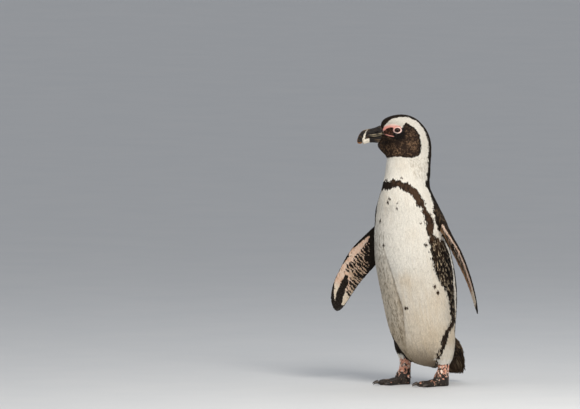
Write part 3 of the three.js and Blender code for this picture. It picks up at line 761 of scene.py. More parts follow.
def link(name, mesh):
    """A new object in the scene."""
    piece = bpy.data.objects.new(name, mesh)
    bpy.context.scene.collection.objects.link(piece)
    return piece


def evaluated(piece):
    """The object's mesh with its modifiers applied, as a new mesh."""
    graph = bpy.context.evaluated_depsgraph_get()
    return bpy.data.meshes.new_from_object(piece.evaluated_get(graph))


def applied(piece):
    """Applies all modifiers of an object."""
    made = evaluated(piece)
    piece.modifiers.clear()
    piece.data = made
    return piece


def put(mesh, name, kind, values, domain="POINT"):
    """Stores an attribute."""
    field = {"FLOAT_COLOR": "color", "FLOAT_VECTOR": "vector"}.get(kind, "value")
    values = np.asarray(values)
    if kind == "FLOAT_COLOR":
        values = np.column_stack([values, np.ones(len(values))])
    old = mesh.attributes.get(name)
    if old is not None:
        mesh.attributes.remove(old)
    made = mesh.attributes.new(name, kind, domain)
    made.data.foreach_set(field, values.astype(np.int32 if kind == "INT" else np.float32).ravel())


def edges_of(mesh):
    """Pairs of vertex numbers."""
    pairs = np.empty(len(mesh.edges) * 2, np.int32)
    mesh.edges.foreach_get("vertices", pairs)
    return pairs.reshape(-1, 2)


def smoothed(values, edges, rounds, weight=1.0):
    """Values averaged with their neighbours', round after round; weight is how much each vertex joins in."""
    one_column = values.ndim == 1
    values = values.reshape(len(values), -1).copy()
    a, b = edges.T
    count = np.maximum(np.bincount(edges.ravel(), minlength=len(values)), 1)
    weight = np.broadcast_to(weight, len(values))[:, None] * 0.5
    for _ in range(rounds):
        for column in values.T:
            near = np.bincount(a, column[b], len(column)) + np.bincount(b, column[a], len(column))
            column += (near / count - column) * weight[:, 0]
    return values[:, 0] if one_column else values


def merged_solid(node, grow=0.0):
    """A solid as a bmesh with its vertices merged, grown outwards."""
    bm = bmesh.new()
    bm.from_mesh(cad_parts[node].data)
    bmesh.ops.remove_doubles(bm, verts=bm.verts, dist=1e-6)
    bm.normal_update()
    for vertex in bm.verts:
        vertex.co += vertex.normal * grow
    return bm


def joined_solids(nodes, grow=0.0):
    """One mesh of several solids, with the number of each face's solid."""
    mesh = bpy.data.meshes.new("joined")
    whole = bmesh.new()
    owner = []
    for i, node in enumerate(nodes):
        bm = merged_solid(node, grow)
        owner += [i] * len(bm.faces)
        part = bpy.data.meshes.new("part")
        bm.to_mesh(part)
        bm.free()
        whole.from_mesh(part)
        bpy.data.meshes.remove(part)
    whole.to_mesh(mesh)
    whole.free()
    return mesh, np.array(owner)


def remeshed(mesh, name, voxel):
    """One closed surface round everything in a mesh."""
    piece = link(name, mesh)
    remesh = piece.modifiers.new("remesh", "REMESH")
    remesh.mode = "VOXEL"
    remesh.voxel_size = voxel
    return applied(piece)


def set_points(mesh, points):
    """Moves a mesh's vertices to points."""
    mesh.vertices.foreach_set("co", points.astype(np.float32).ravel())
    mesh.update()


def normals_of(mesh):
    """The normals of a mesh's vertices."""
    return read(mesh.vertex_normals, "vector", 3)


# ---- Nodes ----


def add(tree, kind, inputs=(), **settings):
    """A node with its settings and inputs: a value is set, and another node's output is linked."""
    node = tree.nodes.new(kind)
    for key, value in settings.items():
        setattr(node, key, value)
    for key, value in dict(inputs).items():
        if isinstance(value, bpy.types.NodeSocket):
            tree.links.new(value, node.inputs[key])
        else:
            node.inputs[key].default_value = value
    return node


def calc(tree, operation, *values):
    """The output of a math node."""
    return add(tree, "ShaderNodeMath", dict(enumerate(values)), operation=operation).outputs[0]


def ranged(tree, value, *ends):
    """A value mapped to another range: ends are its low and high, and what they become."""
    return add(tree, "ShaderNodeMapRange", {"Value": value, **dict(enumerate(ends, 1))}).outputs[0]


def grain_of(tree, place, scale, detail):
    """The output of a noise texture."""
    return add(tree, "ShaderNodeTexNoise", {"Vector": place, "Scale": scale, "Detail": detail}).outputs[0]


def coat_tree():
    """Feathers on one zone of the skin: roots spread evenly, each along the flow and lifted from the skin."""
    tree = bpy.data.node_groups.new("Coat", "GeometryNodeTree")
    face = tree.interface
    face.new_socket("Skin", in_out="INPUT", socket_type="NodeSocketGeometry")
    for name, kind in (("Feather", "Object"), ("Material", "Material"), ("Zone", "Int"), ("Seed", "Int"),
                       ("Spacing", "Float"), ("Density", "Float"), ("Variation", "Float"), ("Sway", "Float")):
        face.new_socket(name, in_out="INPUT", socket_type=f"NodeSocket{kind}")
    face.new_socket("Coat", in_out="OUTPUT", socket_type="NodeSocketGeometry")
    given = tree.nodes.new("NodeGroupInput").outputs

    def field(name, kind="FLOAT_VECTOR"):
        node = add(tree, "GeometryNodeInputNamedAttribute", {"Name": name}, data_type=kind)
        return node.outputs["Attribute"]

    def chance(low, high, step):
        node = add(tree, "FunctionNodeRandomValue", data_type="FLOAT")
        node.inputs[2].default_value = low
        node.inputs[3].default_value = high
        tree.links.new(calc(tree, "ADD", given["Seed"], float(step)), node.inputs["Seed"])
        return node.outputs[1]

    here = add(tree, "FunctionNodeCompare", {2: field("zone", "INT"), 3: given["Zone"]}, data_type="INT",
               operation="EQUAL").outputs[0]
    spread = add(tree, "GeometryNodeDistributePointsOnFaces",
                 {"Mesh": given["Skin"], "Selection": here, "Distance Min": given["Spacing"],
                  "Density Max": given["Density"], "Density Factor": field("cover", "FLOAT"),
                  "Seed": given["Seed"]},
                 distribute_method="POISSON")
    turned = add(tree, "FunctionNodeAxesToRotation",
                 {"Primary Axis": field("up"), "Secondary Axis": field("flow")},
                 primary_axis="Z", secondary_axis="Y")
    lift = calc(tree, "MULTIPLY", field("lift", "FLOAT"), chance(0.7, 1.25, 1))
    yaw = calc(tree, "MULTIPLY", given["Sway"], chance(-1, 1, 2))
    roll = calc(tree, "MULTIPLY", given["Sway"], chance(-1, 1, 3))
    angles = add(tree, "ShaderNodeCombineXYZ", {"X": lift, "Y": roll, "Z": yaw})
    tipped = add(tree, "FunctionNodeEulerToRotation", {"Euler": angles.outputs[0]})
    stand = add(tree, "FunctionNodeRotateRotation",
                {"Rotation": turned.outputs[0], "Rotate By": tipped.outputs[0]}, rotation_space="LOCAL")
    more = calc(tree, "ADD", 1.0, calc(tree, "MULTIPLY", given["Variation"], chance(-1, 1, 4)))
    grown = add(tree, "ShaderNodeVectorMath", {0: field("feather"), "Scale": more}, operation="SCALE")
    shape = add(tree, "GeometryNodeObjectInfo", {"Object": given["Feather"]})
    placed = add(tree, "GeometryNodeInstanceOnPoints",
                 {"Points": spread.outputs["Points"], "Instance": shape.outputs["Geometry"],
                  "Rotation": stand.outputs[0], "Scale": grown.outputs[0]})
    real = add(tree, "GeometryNodeRealizeInstances", {"Geometry": placed.outputs[0]})
    done = add(tree, "GeometryNodeSetMaterial", {"Geometry": real.outputs[0], "Material": given["Material"]})
    out = tree.nodes.new("NodeGroupOutput")
    tree.links.new(done.outputs[0], out.inputs["Coat"])
    return tree


def surface(name, roughness, **settings):
    """A material and its tree, with the constant values of its shader set."""
    material = bpy.data.materials.new(name)
    material.use_nodes = True
    tree = material.node_tree
    shader = tree.nodes["Principled BSDF"]
    shader.inputs["Roughness"].default_value = roughness
    for key, value in settings.items():
        shader.inputs[key.replace("_", " ").title().replace("Ior", "IOR")].default_value = value
    return material, tree, shader


def colour_of(tree):
    """The colour attribute."""
    node = add(tree, "ShaderNodeAttribute", attribute_name="colour", attribute_type="GEOMETRY")
    return node.outputs["Color"]


def driven(tree, shader, grain, ends, light, gloss):
    """Base colour and roughness that follow a grain: ends are its range, light and gloss the results."""
    scaled = add(tree, "ShaderNodeVectorMath",
                 {0: colour_of(tree), "Scale": ranged(tree, grain, *ends, *light)}, operation="SCALE")
    tree.links.new(scaled.outputs[0], shader.inputs["Base Color"])
    tree.links.new(ranged(tree, grain, *ends, *gloss), shader.inputs["Roughness"])


def bump(tree, shader, height, strength, distance):
    """Fine relief of a material."""
    node = add(tree, "ShaderNodeBump", {"Height": height, "Strength": strength, "Distance": distance})
    tree.links.new(node.outputs[0], shader.inputs["Normal"])


def grainy(tree, shader, scale, amount, detail=4.0):
    """The colour attribute with fine darker and lighter grain, and a roughness that follows it."""
    grain = grain_of(tree, add(tree, "ShaderNodeTexCoord").outputs["Object"], scale, detail)
    rough = shader.inputs["Roughness"].default_value
    driven(tree, shader, grain, (0.25, 0.75), (1 - amount, 1 + amount), (rough - 0.08, rough + 0.08))
    return grain


BARBS = 95.0  # along a feather, in radians of the bump's wave


def feather_material():
    """Soft vanes with barbs that run out from the shaft."""
    material, tree, shader = surface("Feather", 0.68, specular_ior_level=0.08)
    grainy(tree, shader, 900.0, 0.10, 2.0)
    vane = add(tree, "ShaderNodeUVMap", uv_map="Vane").outputs[0]
    place = add(tree, "ShaderNodeSeparateXYZ", {0: vane}).outputs
    aside = calc(tree, "ABSOLUTE", calc(tree, "SUBTRACT", place["X"], 0.5))
    slant = calc(tree, "SUBTRACT", place["Y"], aside)
    bump(tree, shader, calc(tree, "SINE", calc(tree, "MULTIPLY", slant, BARBS)), 0.25, 0.0001)
    return material


def hide_material(name, roughness, scale, depth, **settings):
    """Bare skin: the colour attribute with pores and fine wrinkles."""
    material, tree, shader = surface(name, roughness, **settings)
    grain = grainy(tree, shader, scale, 0.12)
    place = add(tree, "ShaderNodeTexCoord").outputs["Object"]
    cells = add(tree, "ShaderNodeTexVoronoi", {"Vector": place, "Scale": scale * 1.3}).outputs["Distance"]
    bump(tree, shader, calc(tree, "ADD", cells, grain), 0.5, depth)
    return material


def scute_material():
    """Leathery plates, a little glossy."""
    material, tree, shader = surface("Scute", 0.52, specular_ior_level=0.2)
    bump(tree, shader, grainy(tree, shader, 1400.0, 0.16), 0.4, 0.0001)
    return material


def horn_material(name, roughness, coat, shine=0.5):
    """Horn with long fine grain; the place attribute runs ahead, up and left in millimetres."""
    material, tree, shader = surface(name, roughness, coat_weight=coat, coat_roughness=0.25,
                                     specular_ior_level=shine)
    place = add(tree, "ShaderNodeAttribute", attribute_name="place", attribute_type="GEOMETRY")
    stretched = add(tree, "ShaderNodeVectorMath", {0: place.outputs["Vector"], 1: (0.22, 1.6, 1.6)},
                    operation="MULTIPLY")
    grain = grain_of(tree, stretched.outputs[0], 1.0, 5.0)
    driven(tree, shader, grain, (0.3, 0.7), (0.5, 1.75), (roughness - 0.1, roughness + 0.12))
    bump(tree, shader, grain, 0.35, 0.0002)
    return material


def finish_piece(piece, material, nodes=()):
    """Material, smooth faces, body and replaced nodes of a piece."""
    piece.data.materials.clear()
    piece.data.materials.append(material)
    piece.data.shade_smooth()
    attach(piece, "root")
    if nodes:
        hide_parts(*nodes)
    return piece


# ---- Skin ----

# How far the skin lies inside the feathers' tips, in millimetres.
COAT_DEPTH = {"head": 0.95, "neck": 1.5, "trunk": 2.0, "tail": 1.5, "flipper": 0.7, "thigh": 1.6, "leg": 0.3,
              "foot": 0.3}
# Rounds of smoothing that take the flats off each solid.
ROUNDS = {"head": 14, "neck": 44, "trunk": 60, "tail": 12, "flipper": 9, "thigh": 34, "leg": 14, "foot": 5}
# How readily faces are taken out of each part, from 0 for never.
LOOSE = {"head": 0.0, "neck": 0.7, "trunk": 0.8, "tail": 0.5, "flipper": 0.5, "thigh": 0.7, "leg": 0.0,
         "foot": 0.0}
SHOULDER_ROUNDS = 80  # rounds of smoothing where a flipper meets the body
# Lines of the face's relief, [ahead, up].
GAPE_FOLD = np.array([(34, -11), (26, -13.2), (16, -16.5), (8, -18)])
THROAT = np.array([(34, -24), (20, -33), (2, -38)])
BROW = np.array([(16, 12), (6, 13.6), (-5, 11), (-12, 4)])
BILL_ROOT = head_point(38, -10, 0)  # the feathers of the head lie away from here


def kind(part):
    """A part's name without its side."""
    return FLESH[part].split("_")[0]


def by_part(part, table):
    """A table's value for each vertex's part."""
    return np.array([table[kind(i)] for i in range(len(FLESH))], float)[part]


def first_skin(settings):
    """All flesh solids and a ball over each eyeball as one surface, and a search tree of the solids."""
    mesh, owner = joined_solids(FLESH, settings.joint_gap)
    source = mesh.copy()
    tree = BVHTree.FromPolygons([v.co for v in source.vertices], [p.vertices[:] for p in source.polygons])
    bm = bmesh.new()
    bm.from_mesh(mesh)
    for side in SIDES:
        made = bmesh.ops.create_icosphere(bm, subdivisions=4, radius=EYE_RADIUS + settings.lid)
        bmesh.ops.translate(bm, verts=made["verts"], vec=EYE[side])
    bm.to_mesh(mesh)
    bm.free()
    piece = remeshed(mesh, "skin", settings.voxel)
    bpy.data.meshes.remove(source)
    return piece, tree, owner


def parts_at(points, tree, owner):
    """The number of the solid nearest to each point."""
    return np.array([owner[tree.find_nearest(Vector(p))[2]] for p in points])


def settled(points, normals, tree, edges, share):
    """Points moved out by as much as smoothing has sunk their surroundings into the solids."""
    found = [tree.find_nearest(Vector(p)) for p in points]
    near, facing = (np.array([hit[k] for hit in found]) for k in (0, 1))
    sunk = np.clip(((near - points) * facing).sum(1) / MM - JOINT_GAP, -1, 4) * share
    return points + normals * (smoothed(sunk, edges, 5) * MM)[:, None]


def thinned(piece, triangles, loose):
    """Takes faces out of the broad parts of the body first; loose is the weight of each vertex."""
    group = piece.vertex_groups.new(name="loose")
    for level in np.unique(np.round(loose, 1)):
        if level > 0:
            group.add(np.flatnonzero(np.round(loose, 1) == level).tolist(), float(level), "REPLACE")
    faces = sum(len(p.vertices) - 2 for p in piece.data.polygons)
    modifier = piece.modifiers.new("thin", "DECIMATE")
    modifier.ratio = min(1, triangles / faces)
    modifier.vertex_group = group.name
    modifier.vertex_group_factor = 1.0
    modifier.use_collapse_triangulate = True
    applied(piece)
    piece.vertex_groups.clear()
    return piece


FINER = (24 * MM, 15 * MM, 12.5 * MM)  # edges nearer to an eye than each of these are halved


def refined(piece):
    """Cuts the faces round the eyes and on the face finer."""
    eyes = [Vector(EYE[side]) for side in SIDES]
    for reach in FINER:
        bm = bmesh.new()
        bm.from_mesh(piece.data)
        chosen = {e for f in bm.faces for e in f.edges
                  if min((f.calc_center_median() - c).length for c in eyes) < reach}
        bmesh.ops.subdivide_edges(bm, edges=list(chosen), cuts=1, use_grid_fill=True, smooth=0.0)
        bmesh.ops.triangulate(bm, faces=[f for f in bm.faces if len(f.verts) > 3])
        bm.to_mesh(piece.data)
        bm.free()
    return piece


def lids(points):
    """Points near the eyes moved to form the lids, the puffy ring round them and the bed of the eyeball."""
    share, aside, deep, out = eye_place(points)
    ball = EYE_RADIUS / MM
    rim = np.sqrt(np.maximum((ball + 0.5) ** 2 - aside**2, 4))
    bed = np.sqrt(np.maximum((ball - 2.4) ** 2 - aside**2, 1))
    puff = 0.85 * np.sin(np.clip(share, 0, 1) * math.pi) ** 0.8
    wrinkle = 0.10 * np.cos(share * 24) * window(share, (0.05, 0.3), (1.05, 0.8))
    groove = 0.5 * bell(share - 1.12, 0.13)
    blend = smoothstep(0.0, 1.0, share)
    over = rim * (1 - blend) + deep * blend + puff + wrinkle - groove
    inner = rim - (rim - bed) * smoothstep(0.0, -0.25, share)
    reach = np.where(share < 0, inner, over)
    return points + out * np.where(share < 1.6, (reach - deep) * MM, 0)[:, None]


def relief(points, part):
    """Folds and swellings of face and body, as a height along the normal in metres."""
    rise = np.zeros(len(points))
    head = part == HEAD
    ahead, up, _ = head_place(points[head])
    _, arc, lores, line = face_shares(points[head])
    rise[head] += (arc * 0.9 - lores * 0.7 + line * 0.5) * smoothstep(8.5, 11, np.hypot(ahead, up))
    gape, along = near_line(ahead, up, GAPE_FOLD)
    rise[head] -= 0.9 * bell(gape, 1.3) * (1 - along * 0.8)
    rise[head] -= 0.5 * bell(near_line(ahead, up, THROAT)[0], 3)
    rise[head] += 0.5 * bell(near_line(ahead, up, BROW)[0], 2.4)
    trunk = np.isin(part, (TRUNK, NECK))
    height, angle, radius = body_place(points[trunk])
    fold, side, run = beside_crease(angle, height)
    strength = np.sin(np.clip(run, 0, 1) * math.pi) ** 0.6
    rise[trunk] -= strength * (3.0 * bell(fold, 4.0) - 1.4 * bell(fold - 9, 6) * (side < 0))
    flat = unrolled(angle * radius * math.pi / 180, height)
    flank = 0.25 + smoothstep(5, -30, angle) * smoothstep(420, 330, height)
    rise[trunk] += noise(flat, (11, 1, 70), 71) * 0.75 * flank + noise(flat, (5, 1, 34), 72) * 0.35 * flank
    neck = np.isin(part, (NECK, HEAD))
    height, angle, _ = body_place(points[neck])
    soft = np.sin((height + 8 * np.cos(np.radians(angle))) / 5.2) * window(height, (438, 455), (508, 490))
    rise[neck] += soft * 0.18 * (0.4 + 0.6 * smoothstep(60, 150, np.abs(angle)))
    legs = belongs(part, "leg", "foot")
    rise[legs] += noise(points[legs], np.array((7, 7, 2.2)) * MM, 73) * 0.25
    return rise * MM


def laid_flat(ways, normals):
    """Directions turned into the surface, at length 1."""
    return unit(ways - normals * (ways * normals).sum(1)[:, None])


def flow_at(points, part, normals):
    """The way the coat lies."""
    flow = np.tile((0, 0.10, -1.0), (len(points), 1))
    _, angle, _ = body_place(points)
    flow[:, 0] -= np.sin(np.radians(angle)) * 0.10 * (part == TRUNK)
    head = part == HEAD
    ahead, up, _ = head_place(points[head])
    down = smoothstep(-8, -58, up) * 0.9 + smoothstep(-35, -66, ahead) * 1.2
    flow[head] = unit(points[head] - BILL_ROOT) + down[:, None] * np.array((0, 0, -1.0))
    tail = part == TAIL
    _, across, way = tail_place(points[tail])
    flow[tail] = way + np.outer(across * 0.006, (1, 0, 0))
    for side in SIDES:
        _, along, lead, _ = FLIPPER[side]
        own = part == number("flipper", side)
        free = smoothstep(5, 50, flipper_place(points[own], side)[0])[:, None]
        flow[own] = (along - lead * 0.22) * free + np.array((0, 0.1, -1.0)) * (1 - free)
        flow[part == number("thigh", side)] = (0, 0.05, -1)
        flow[part == number("leg", side)] = (0, 0, -1)
        foot = part == number("foot", side)
        spread = (points[foot] - ANKLE[side]) * (1, 1, 0)
        flow[foot] = FOOT_HEADING * 0.6 + unit(spread) * 0.8
    return laid_flat(flow, normals)


# Width, length and thickness of a feather on each part in millimetres.
FEATHER_SIZE = {"head": (1.05, 3.7, 0.22), "neck": (1.5, 7.5, 0.32), "trunk": (1.9, 10.5, 0.40),
                "tail": (2.8, 24, 0.55), "flipper": (1.35, 4.2, 0.26), "thigh": (1.7, 8, 0.36),
                "leg": (3.0, 2.7, 0.60), "foot": (2.8, 2.5, 0.55)}


def feather_sizes(points, part):
    """The size of each feather, smallest near the bill and the eyes."""
    sizes = np.stack([by_part(part, {k: v[i] for k, v in FEATHER_SIZE.items()}) for i in range(3)], 1)
    head = part == HEAD
    ahead, up, _ = head_place(points[head])
    eye = np.minimum.reduce([np.linalg.norm(points[head] - EYE[s], axis=1) / MM for s in SIDES])
    near = smoothstep(42, 8, ahead) * 0.48 + 0.52
    near = near * (0.62 + 0.38 * smoothstep(9, 24, eye))
    near = near * (1 + 0.35 * smoothstep(-25, -60, up))
    sizes[head] *= near[:, None]
    for side in SIDES:
        own = part == number("flipper", side)
        along = flipper_place(points[own], side)[0]
        sizes[own] *= (1.25 - 0.45 * smoothstep(60, 200, along))[:, None]
        sizes[own, 1] *= 1 - 0.35 * smoothstep(215, 236, along)
    tail = part == TAIL
    along = tail_place(points[tail])[0]
    sizes[tail, 1] = np.clip(TAIL_LENGTH - along, 7, sizes[tail, 1])
    sizes[tail, 0] *= 0.75 + 0.35 * smoothstep(10, 60, along)
    return sizes


SOLE = 2.2 * MM  # no scutes grow on the underside of the feet, below this


def covers(points, part, normals):
    """How densely the coat grows, from 0 on bare skin to 1."""
    cover = np.ones(len(points))
    head = part == HEAD
    ring, arc, _, line = face_shares(points[head])
    cover[head] = (ring < 0.1) * (arc < 0.4) * (line < 0.3)
    cover[belongs(part, "foot") & (points[:, 2] < SOLE) & (normals[:, 2] < -0.3)] = 0
    return cover


ZONES = ("face_left", "face_right", "neck", "breast_left", "breast_right", "back_left", "back_right", "tail",
         "flipper_left", "flipper_right", "thigh_left", "thigh_right", "leg_left", "leg_right")


def zones_at(points, part):
    """The coat piece that each face of the skin belongs to."""
    zone = np.zeros(len(points), int)
    _, angle, _ = body_place(points)
    _, _, left = head_place(points)
    zone[part == HEAD] = np.where(left > 0, 0, 1)[part == HEAD]
    zone[part == NECK] = ZONES.index("neck")
    quarter = np.where(np.abs(angle) < 90, 3, 5) + (angle < 0)
    zone[part == TRUNK] = quarter[part == TRUNK]
    zone[part == TAIL] = ZONES.index("tail")
    for side in SIDES:
        for name in ("flipper", "thigh", "leg"):
            zone[part == number(name, side)] = ZONES.index(f"{name}_{side}")
        zone[part == number("foot", side)] = ZONES.index(f"leg_{side}")
    return zone


TAIL_RISE = 1.6  # the tail's feathers are lifted as if its coat were this deep
SCUTE_TILT = 0.05


def describe(mesh, tree, owner):
    """Stores on the skin what the coat needs: part, zone, up, flow, feather size, lift, cover and colour."""
    points, normals, edges = read(mesh.vertices, "co", 3), normals_of(mesh), edges_of(mesh)
    part = parts_at(points, tree, owner)
    up = unit(smoothed(normals, edges, 4))
    flow = laid_flat(smoothed(flow_at(points, part, up), edges, 12), up)
    sizes = smoothed(feather_sizes(points, part), edges, 3)
    depth = smoothed(by_part(part, COAT_DEPTH), edges, 3)
    depth = np.where(part == TAIL, TAIL_RISE, depth)
    lift = np.arcsin(np.clip(depth * 0.75 / sizes[:, 1], 0, 0.5))
    lift[belongs(part, "leg", "foot")] = SCUTE_TILT
    put(mesh, "part", "INT", part)
    put(mesh, "up", "FLOAT_VECTOR", up)
    put(mesh, "flow", "FLOAT_VECTOR", flow)
    put(mesh, "feather", "FLOAT_VECTOR", sizes * MM)
    put(mesh, "lift", "FLOAT", lift)
    put(mesh, "cover", "FLOAT", covers(points, part, normals))
    put(mesh, "colour", "FLOAT_COLOR", markings(points, part, normals, np.full(len(points), 0.5)))
    corners = np.array([p.vertices[:3] for p in mesh.polygons])
    put(mesh, "zone", "INT", zones_at(points[corners].mean(1), part[corners[:, 0]]), "FACE")


def shoulders(points):
    """How far points belong to the places where the flippers grow out of the body, 0 to 1."""
    share = np.zeros(len(points))
    for side in SIDES:
        hinge, along = FLIPPER[side][:2]
        reach = np.clip((points - hinge) @ along, -45 * MM, 8 * MM)
        far = np.linalg.norm(points - hinge - np.outer(reach, along), axis=1) / MM
        share = np.maximum(share, smoothstep(46, 24, far))
    return share


# Beyond these places the skin of tail and flippers is drawn in by a share, since its feathers reach further.
TAIL_DRAWN, FLIPPER_DRAWN = (TAIL_LENGTH - 24, 0.42), (236, 0.2)


def drawn_in(points, part):
    """Points with the tips of tail and flippers drawn in."""
    along, _, way = tail_place(points)
    over = np.maximum(along - TAIL_DRAWN[0], 0) * (part == TAIL)
    points = points - (over * TAIL_DRAWN[1] * MM)[:, None] * way
    for side in SIDES:
        own = part == number("flipper", side)
        over = np.maximum(flipper_place(points, side)[0] - FLIPPER_DRAWN[0], 0) * own
        points = points - np.outer(over * FLIPPER_DRAWN[1] * MM, FLIPPER[side][1])
    return points


class PENGUIN_OT_skin(bpy.types.Operator):
    """Build the bird's one skin, with lids, folds and markings"""

    bl_idname = "penguin.skin"
    bl_label = "Skin"

    def execute(self, context):
        settings = context.scene.penguin_skin
        piece, tree, owner = first_skin(settings)
        mesh = piece.data
        points, edges = read(mesh.vertices, "co", 3), edges_of(mesh)
        part = parts_at(points, tree, owner)
        shoulder = shoulders(points)
        rounds = np.maximum(by_part(part, ROUNDS), SHOULDER_ROUNDS * shoulder)
        rounds = smoothed(rounds, edges, 10)
        for step in range(0, int(rounds.max()), 4):
            points = smoothed(points, edges, 4, smoothstep(step, step + 4, rounds))
        set_points(mesh, points)
        points = settled(points, unit(smoothed(normals_of(mesh), edges, 2)), tree, edges, 1 - 0.5 * shoulder)
        set_points(mesh, points)
        refined(thinned(piece, settings.triangles, smoothed(by_part(part, LOOSE), edges, 6)))
        mesh = piece.data
        points, edges = read(mesh.vertices, "co", 3), edges_of(mesh)
        part = parts_at(points, tree, owner)
        normals = unit(smoothed(normals_of(mesh), edges, 3))
        depth = smoothed(by_part(part, COAT_DEPTH), edges, 8)
        bare = np.zeros(len(points))
        head = part == HEAD
        bare[head] = 1 - covers(points[head], part[head], normals[head])
        depth = depth * (1 - 0.7 * smoothed(bare, edges, 2)) * MM
        points += normals * (relief(points, part) - depth)[:, None]
        points = drawn_in(lids(points), part)
        points[:, 2] = np.maximum(points[:, 2], 0.05 * MM)
        set_points(mesh, points)
        describe(mesh, tree, owner)
        material = hide_material("Skin", 0.5, 1500.0, 0.00012, subsurface_weight=0.08,
                                 subsurface_radius=(0.004, 0.0016, 0.0010), subsurface_scale=0.3)
        finish_piece(piece, material, FLESH)
        return {"FINISHED"}


# ---- Coat ----

# A feather one long, one wide and one thick, rooted at the origin and lying along Y:
# [along, half width, crown].
VANE = ((0.34, 0.46, 0.30), (0.80, 0.40, 0.24))


def feather_mesh():
    """A closed vane of eight points: its root, two rows of left edge, shaft and right edge, and its tip."""
    points = [(0, 0, -0.25)]
    for along, half, crown in VANE:
        points += [(-half, along, -crown), (0, along, crown), (half, along, -crown)]
    points.append((0, 1, -0.55))
    top = [(0, 3, 2), (0, 2, 1), (3, 6, 5, 2), (2, 5, 4, 1), (6, 7, 5), (5, 7, 4)]
    under = [(0, 1, 3), (1, 4, 6, 3), (4, 7, 6)]
    mesh = bpy.data.meshes.new("feather")
    mesh.from_pydata(points, [], top + under)
    outline = {(0, 1), (1, 4), (4, 7), (0, 3), (3, 6), (6, 7)}
    mesh.shade_smooth()
    for edge in mesh.edges:
        edge.use_edge_sharp = tuple(sorted(edge.vertices)) in outline
    return mesh


def scute_mesh():
    """A low six-sided plate with a bevelled rim."""
    corners = [(math.cos(i * math.pi / 3), math.sin(i * math.pi / 3)) for i in range(6)]
    points = [(0.5 * x, 0.5 * y, -0.45) for x, y in corners]
    points += [(0.42 * x, 0.42 * y, 0.12) for x, y in corners]
    points.append((0, 0, 0.45))
    faces = [(i, (i + 1) % 6, 6 + (i + 1) % 6, 6 + i) for i in range(6)]
    faces += [(6 + i, 6 + (i + 1) % 6, 12) for i in range(6)]
    faces.append((5, 4, 3, 2, 1, 0))
    mesh = bpy.data.meshes.new("scute")
    mesh.from_pydata(points, [], faces)
    mesh.shade_smooth()
    return mesh


FLIPPER_APART, TAIL_APART = 46, 40


def bake_places(points, part, zone):
    """Each root's place on an unwrap of its zone of the skin, filling the map from 0 to 1."""
    name = ZONES[zone]
    if name.startswith("face"):
        # Unrolled from the chin over the cheek to the crown, and from the bill back to the nape.
        along, up, left = head_place(points)
        across = np.arctan2(np.abs(left), up + 14)
    elif name.startswith("flipper"):
        # The two sides lie apart on the map, as they do for the tail.
        side = name.split("_")[1]
        along, across, out = flipper_place(points, side)
        over = out > np.interp(along, *bow_of(side))
        across = np.where(over, across + FLIPPER_APART, -across - FLIPPER_APART)
    elif name == "tail":
        along, across, way = tail_place(points)
        line = np.stack([np.interp(along, TAIL_STOPS, TAIL_PATH[:, k]) for k in (0, 1)], 1)
        v = (points - TAIL_TIP)[:, 1:] / MM - line
        over = v[:, 0] * way[:, 2] - v[:, 1] * way[:, 1] < 0
        across = np.where(over, across + TAIL_APART, -across - TAIL_APART)
    elif name.startswith(("thigh", "leg")):
        side = name.split("_")[1]
        v = points - ANKLE[side] - FOOT_HEADING * 6 * MM
        across = np.arctan2(v[:, 0], -v[:, 1])
        along = points[:, 2] / MM * 1.6 - np.hypot(v[:, 0], v[:, 1]) / MM * (part == number("foot", side))
    else:
        along, across, _ = body_place(points)
        if name.startswith("back"):
            across = across % 360
    place = np.stack([across, along], 1)
    low, high = place.min(0), place.max(0)
    return 0.004 + 0.992 * (place - low) / (high - low)


def bow_of(side):
    """The middle of a flipper's thickness along it, as two rows for np.interp."""
    along, _, out = flipper_place(solid_points(f"flipper_{side}"), side)
    stops = np.linspace(60, FLIPPER_LENGTH, 9)
    spans = [out[np.abs(along - stop) < 14] for stop in stops]
    return stops, [(span.min() + span.max()) / 2 for span in spans]


def coat_piece(name, skin, tree, zone, shape, spacing, material, seed):
    """One zone's feathers as a plain mesh with colours and both maps."""
    coat = bpy.context.scene.penguin_coat
    carrier = link("carrier", skin.data)
    modifier = carrier.modifiers.new("coat", "NODES")
    modifier.node_group = tree
    values = {"Feather": shape, "Material": material, "Zone": zone, "Seed": seed, "Spacing": spacing,
              "Density": 3.0 / spacing**2, "Variation": coat.vary, "Sway": coat.sway}
    for item in tree.interface.items_tree:
        if item.in_out == "INPUT" and item.name in values:
            modifier[item.identifier] = values[item.name]
    mesh = evaluated(carrier)
    carrier.modifiers.remove(modifier)
    bpy.data.objects.remove(carrier)
    colour_coat(mesh, shape, zone, seed, coat.patch)
    mesh.name = name
    return finish_piece(link(name, mesh), material)


SKIN_TREE = {}  # the finished skin: a search tree, and each face's part and normal
WORN_TIP = (0.085, 0.058, 0.038)
WORN_SHARE = 0.14


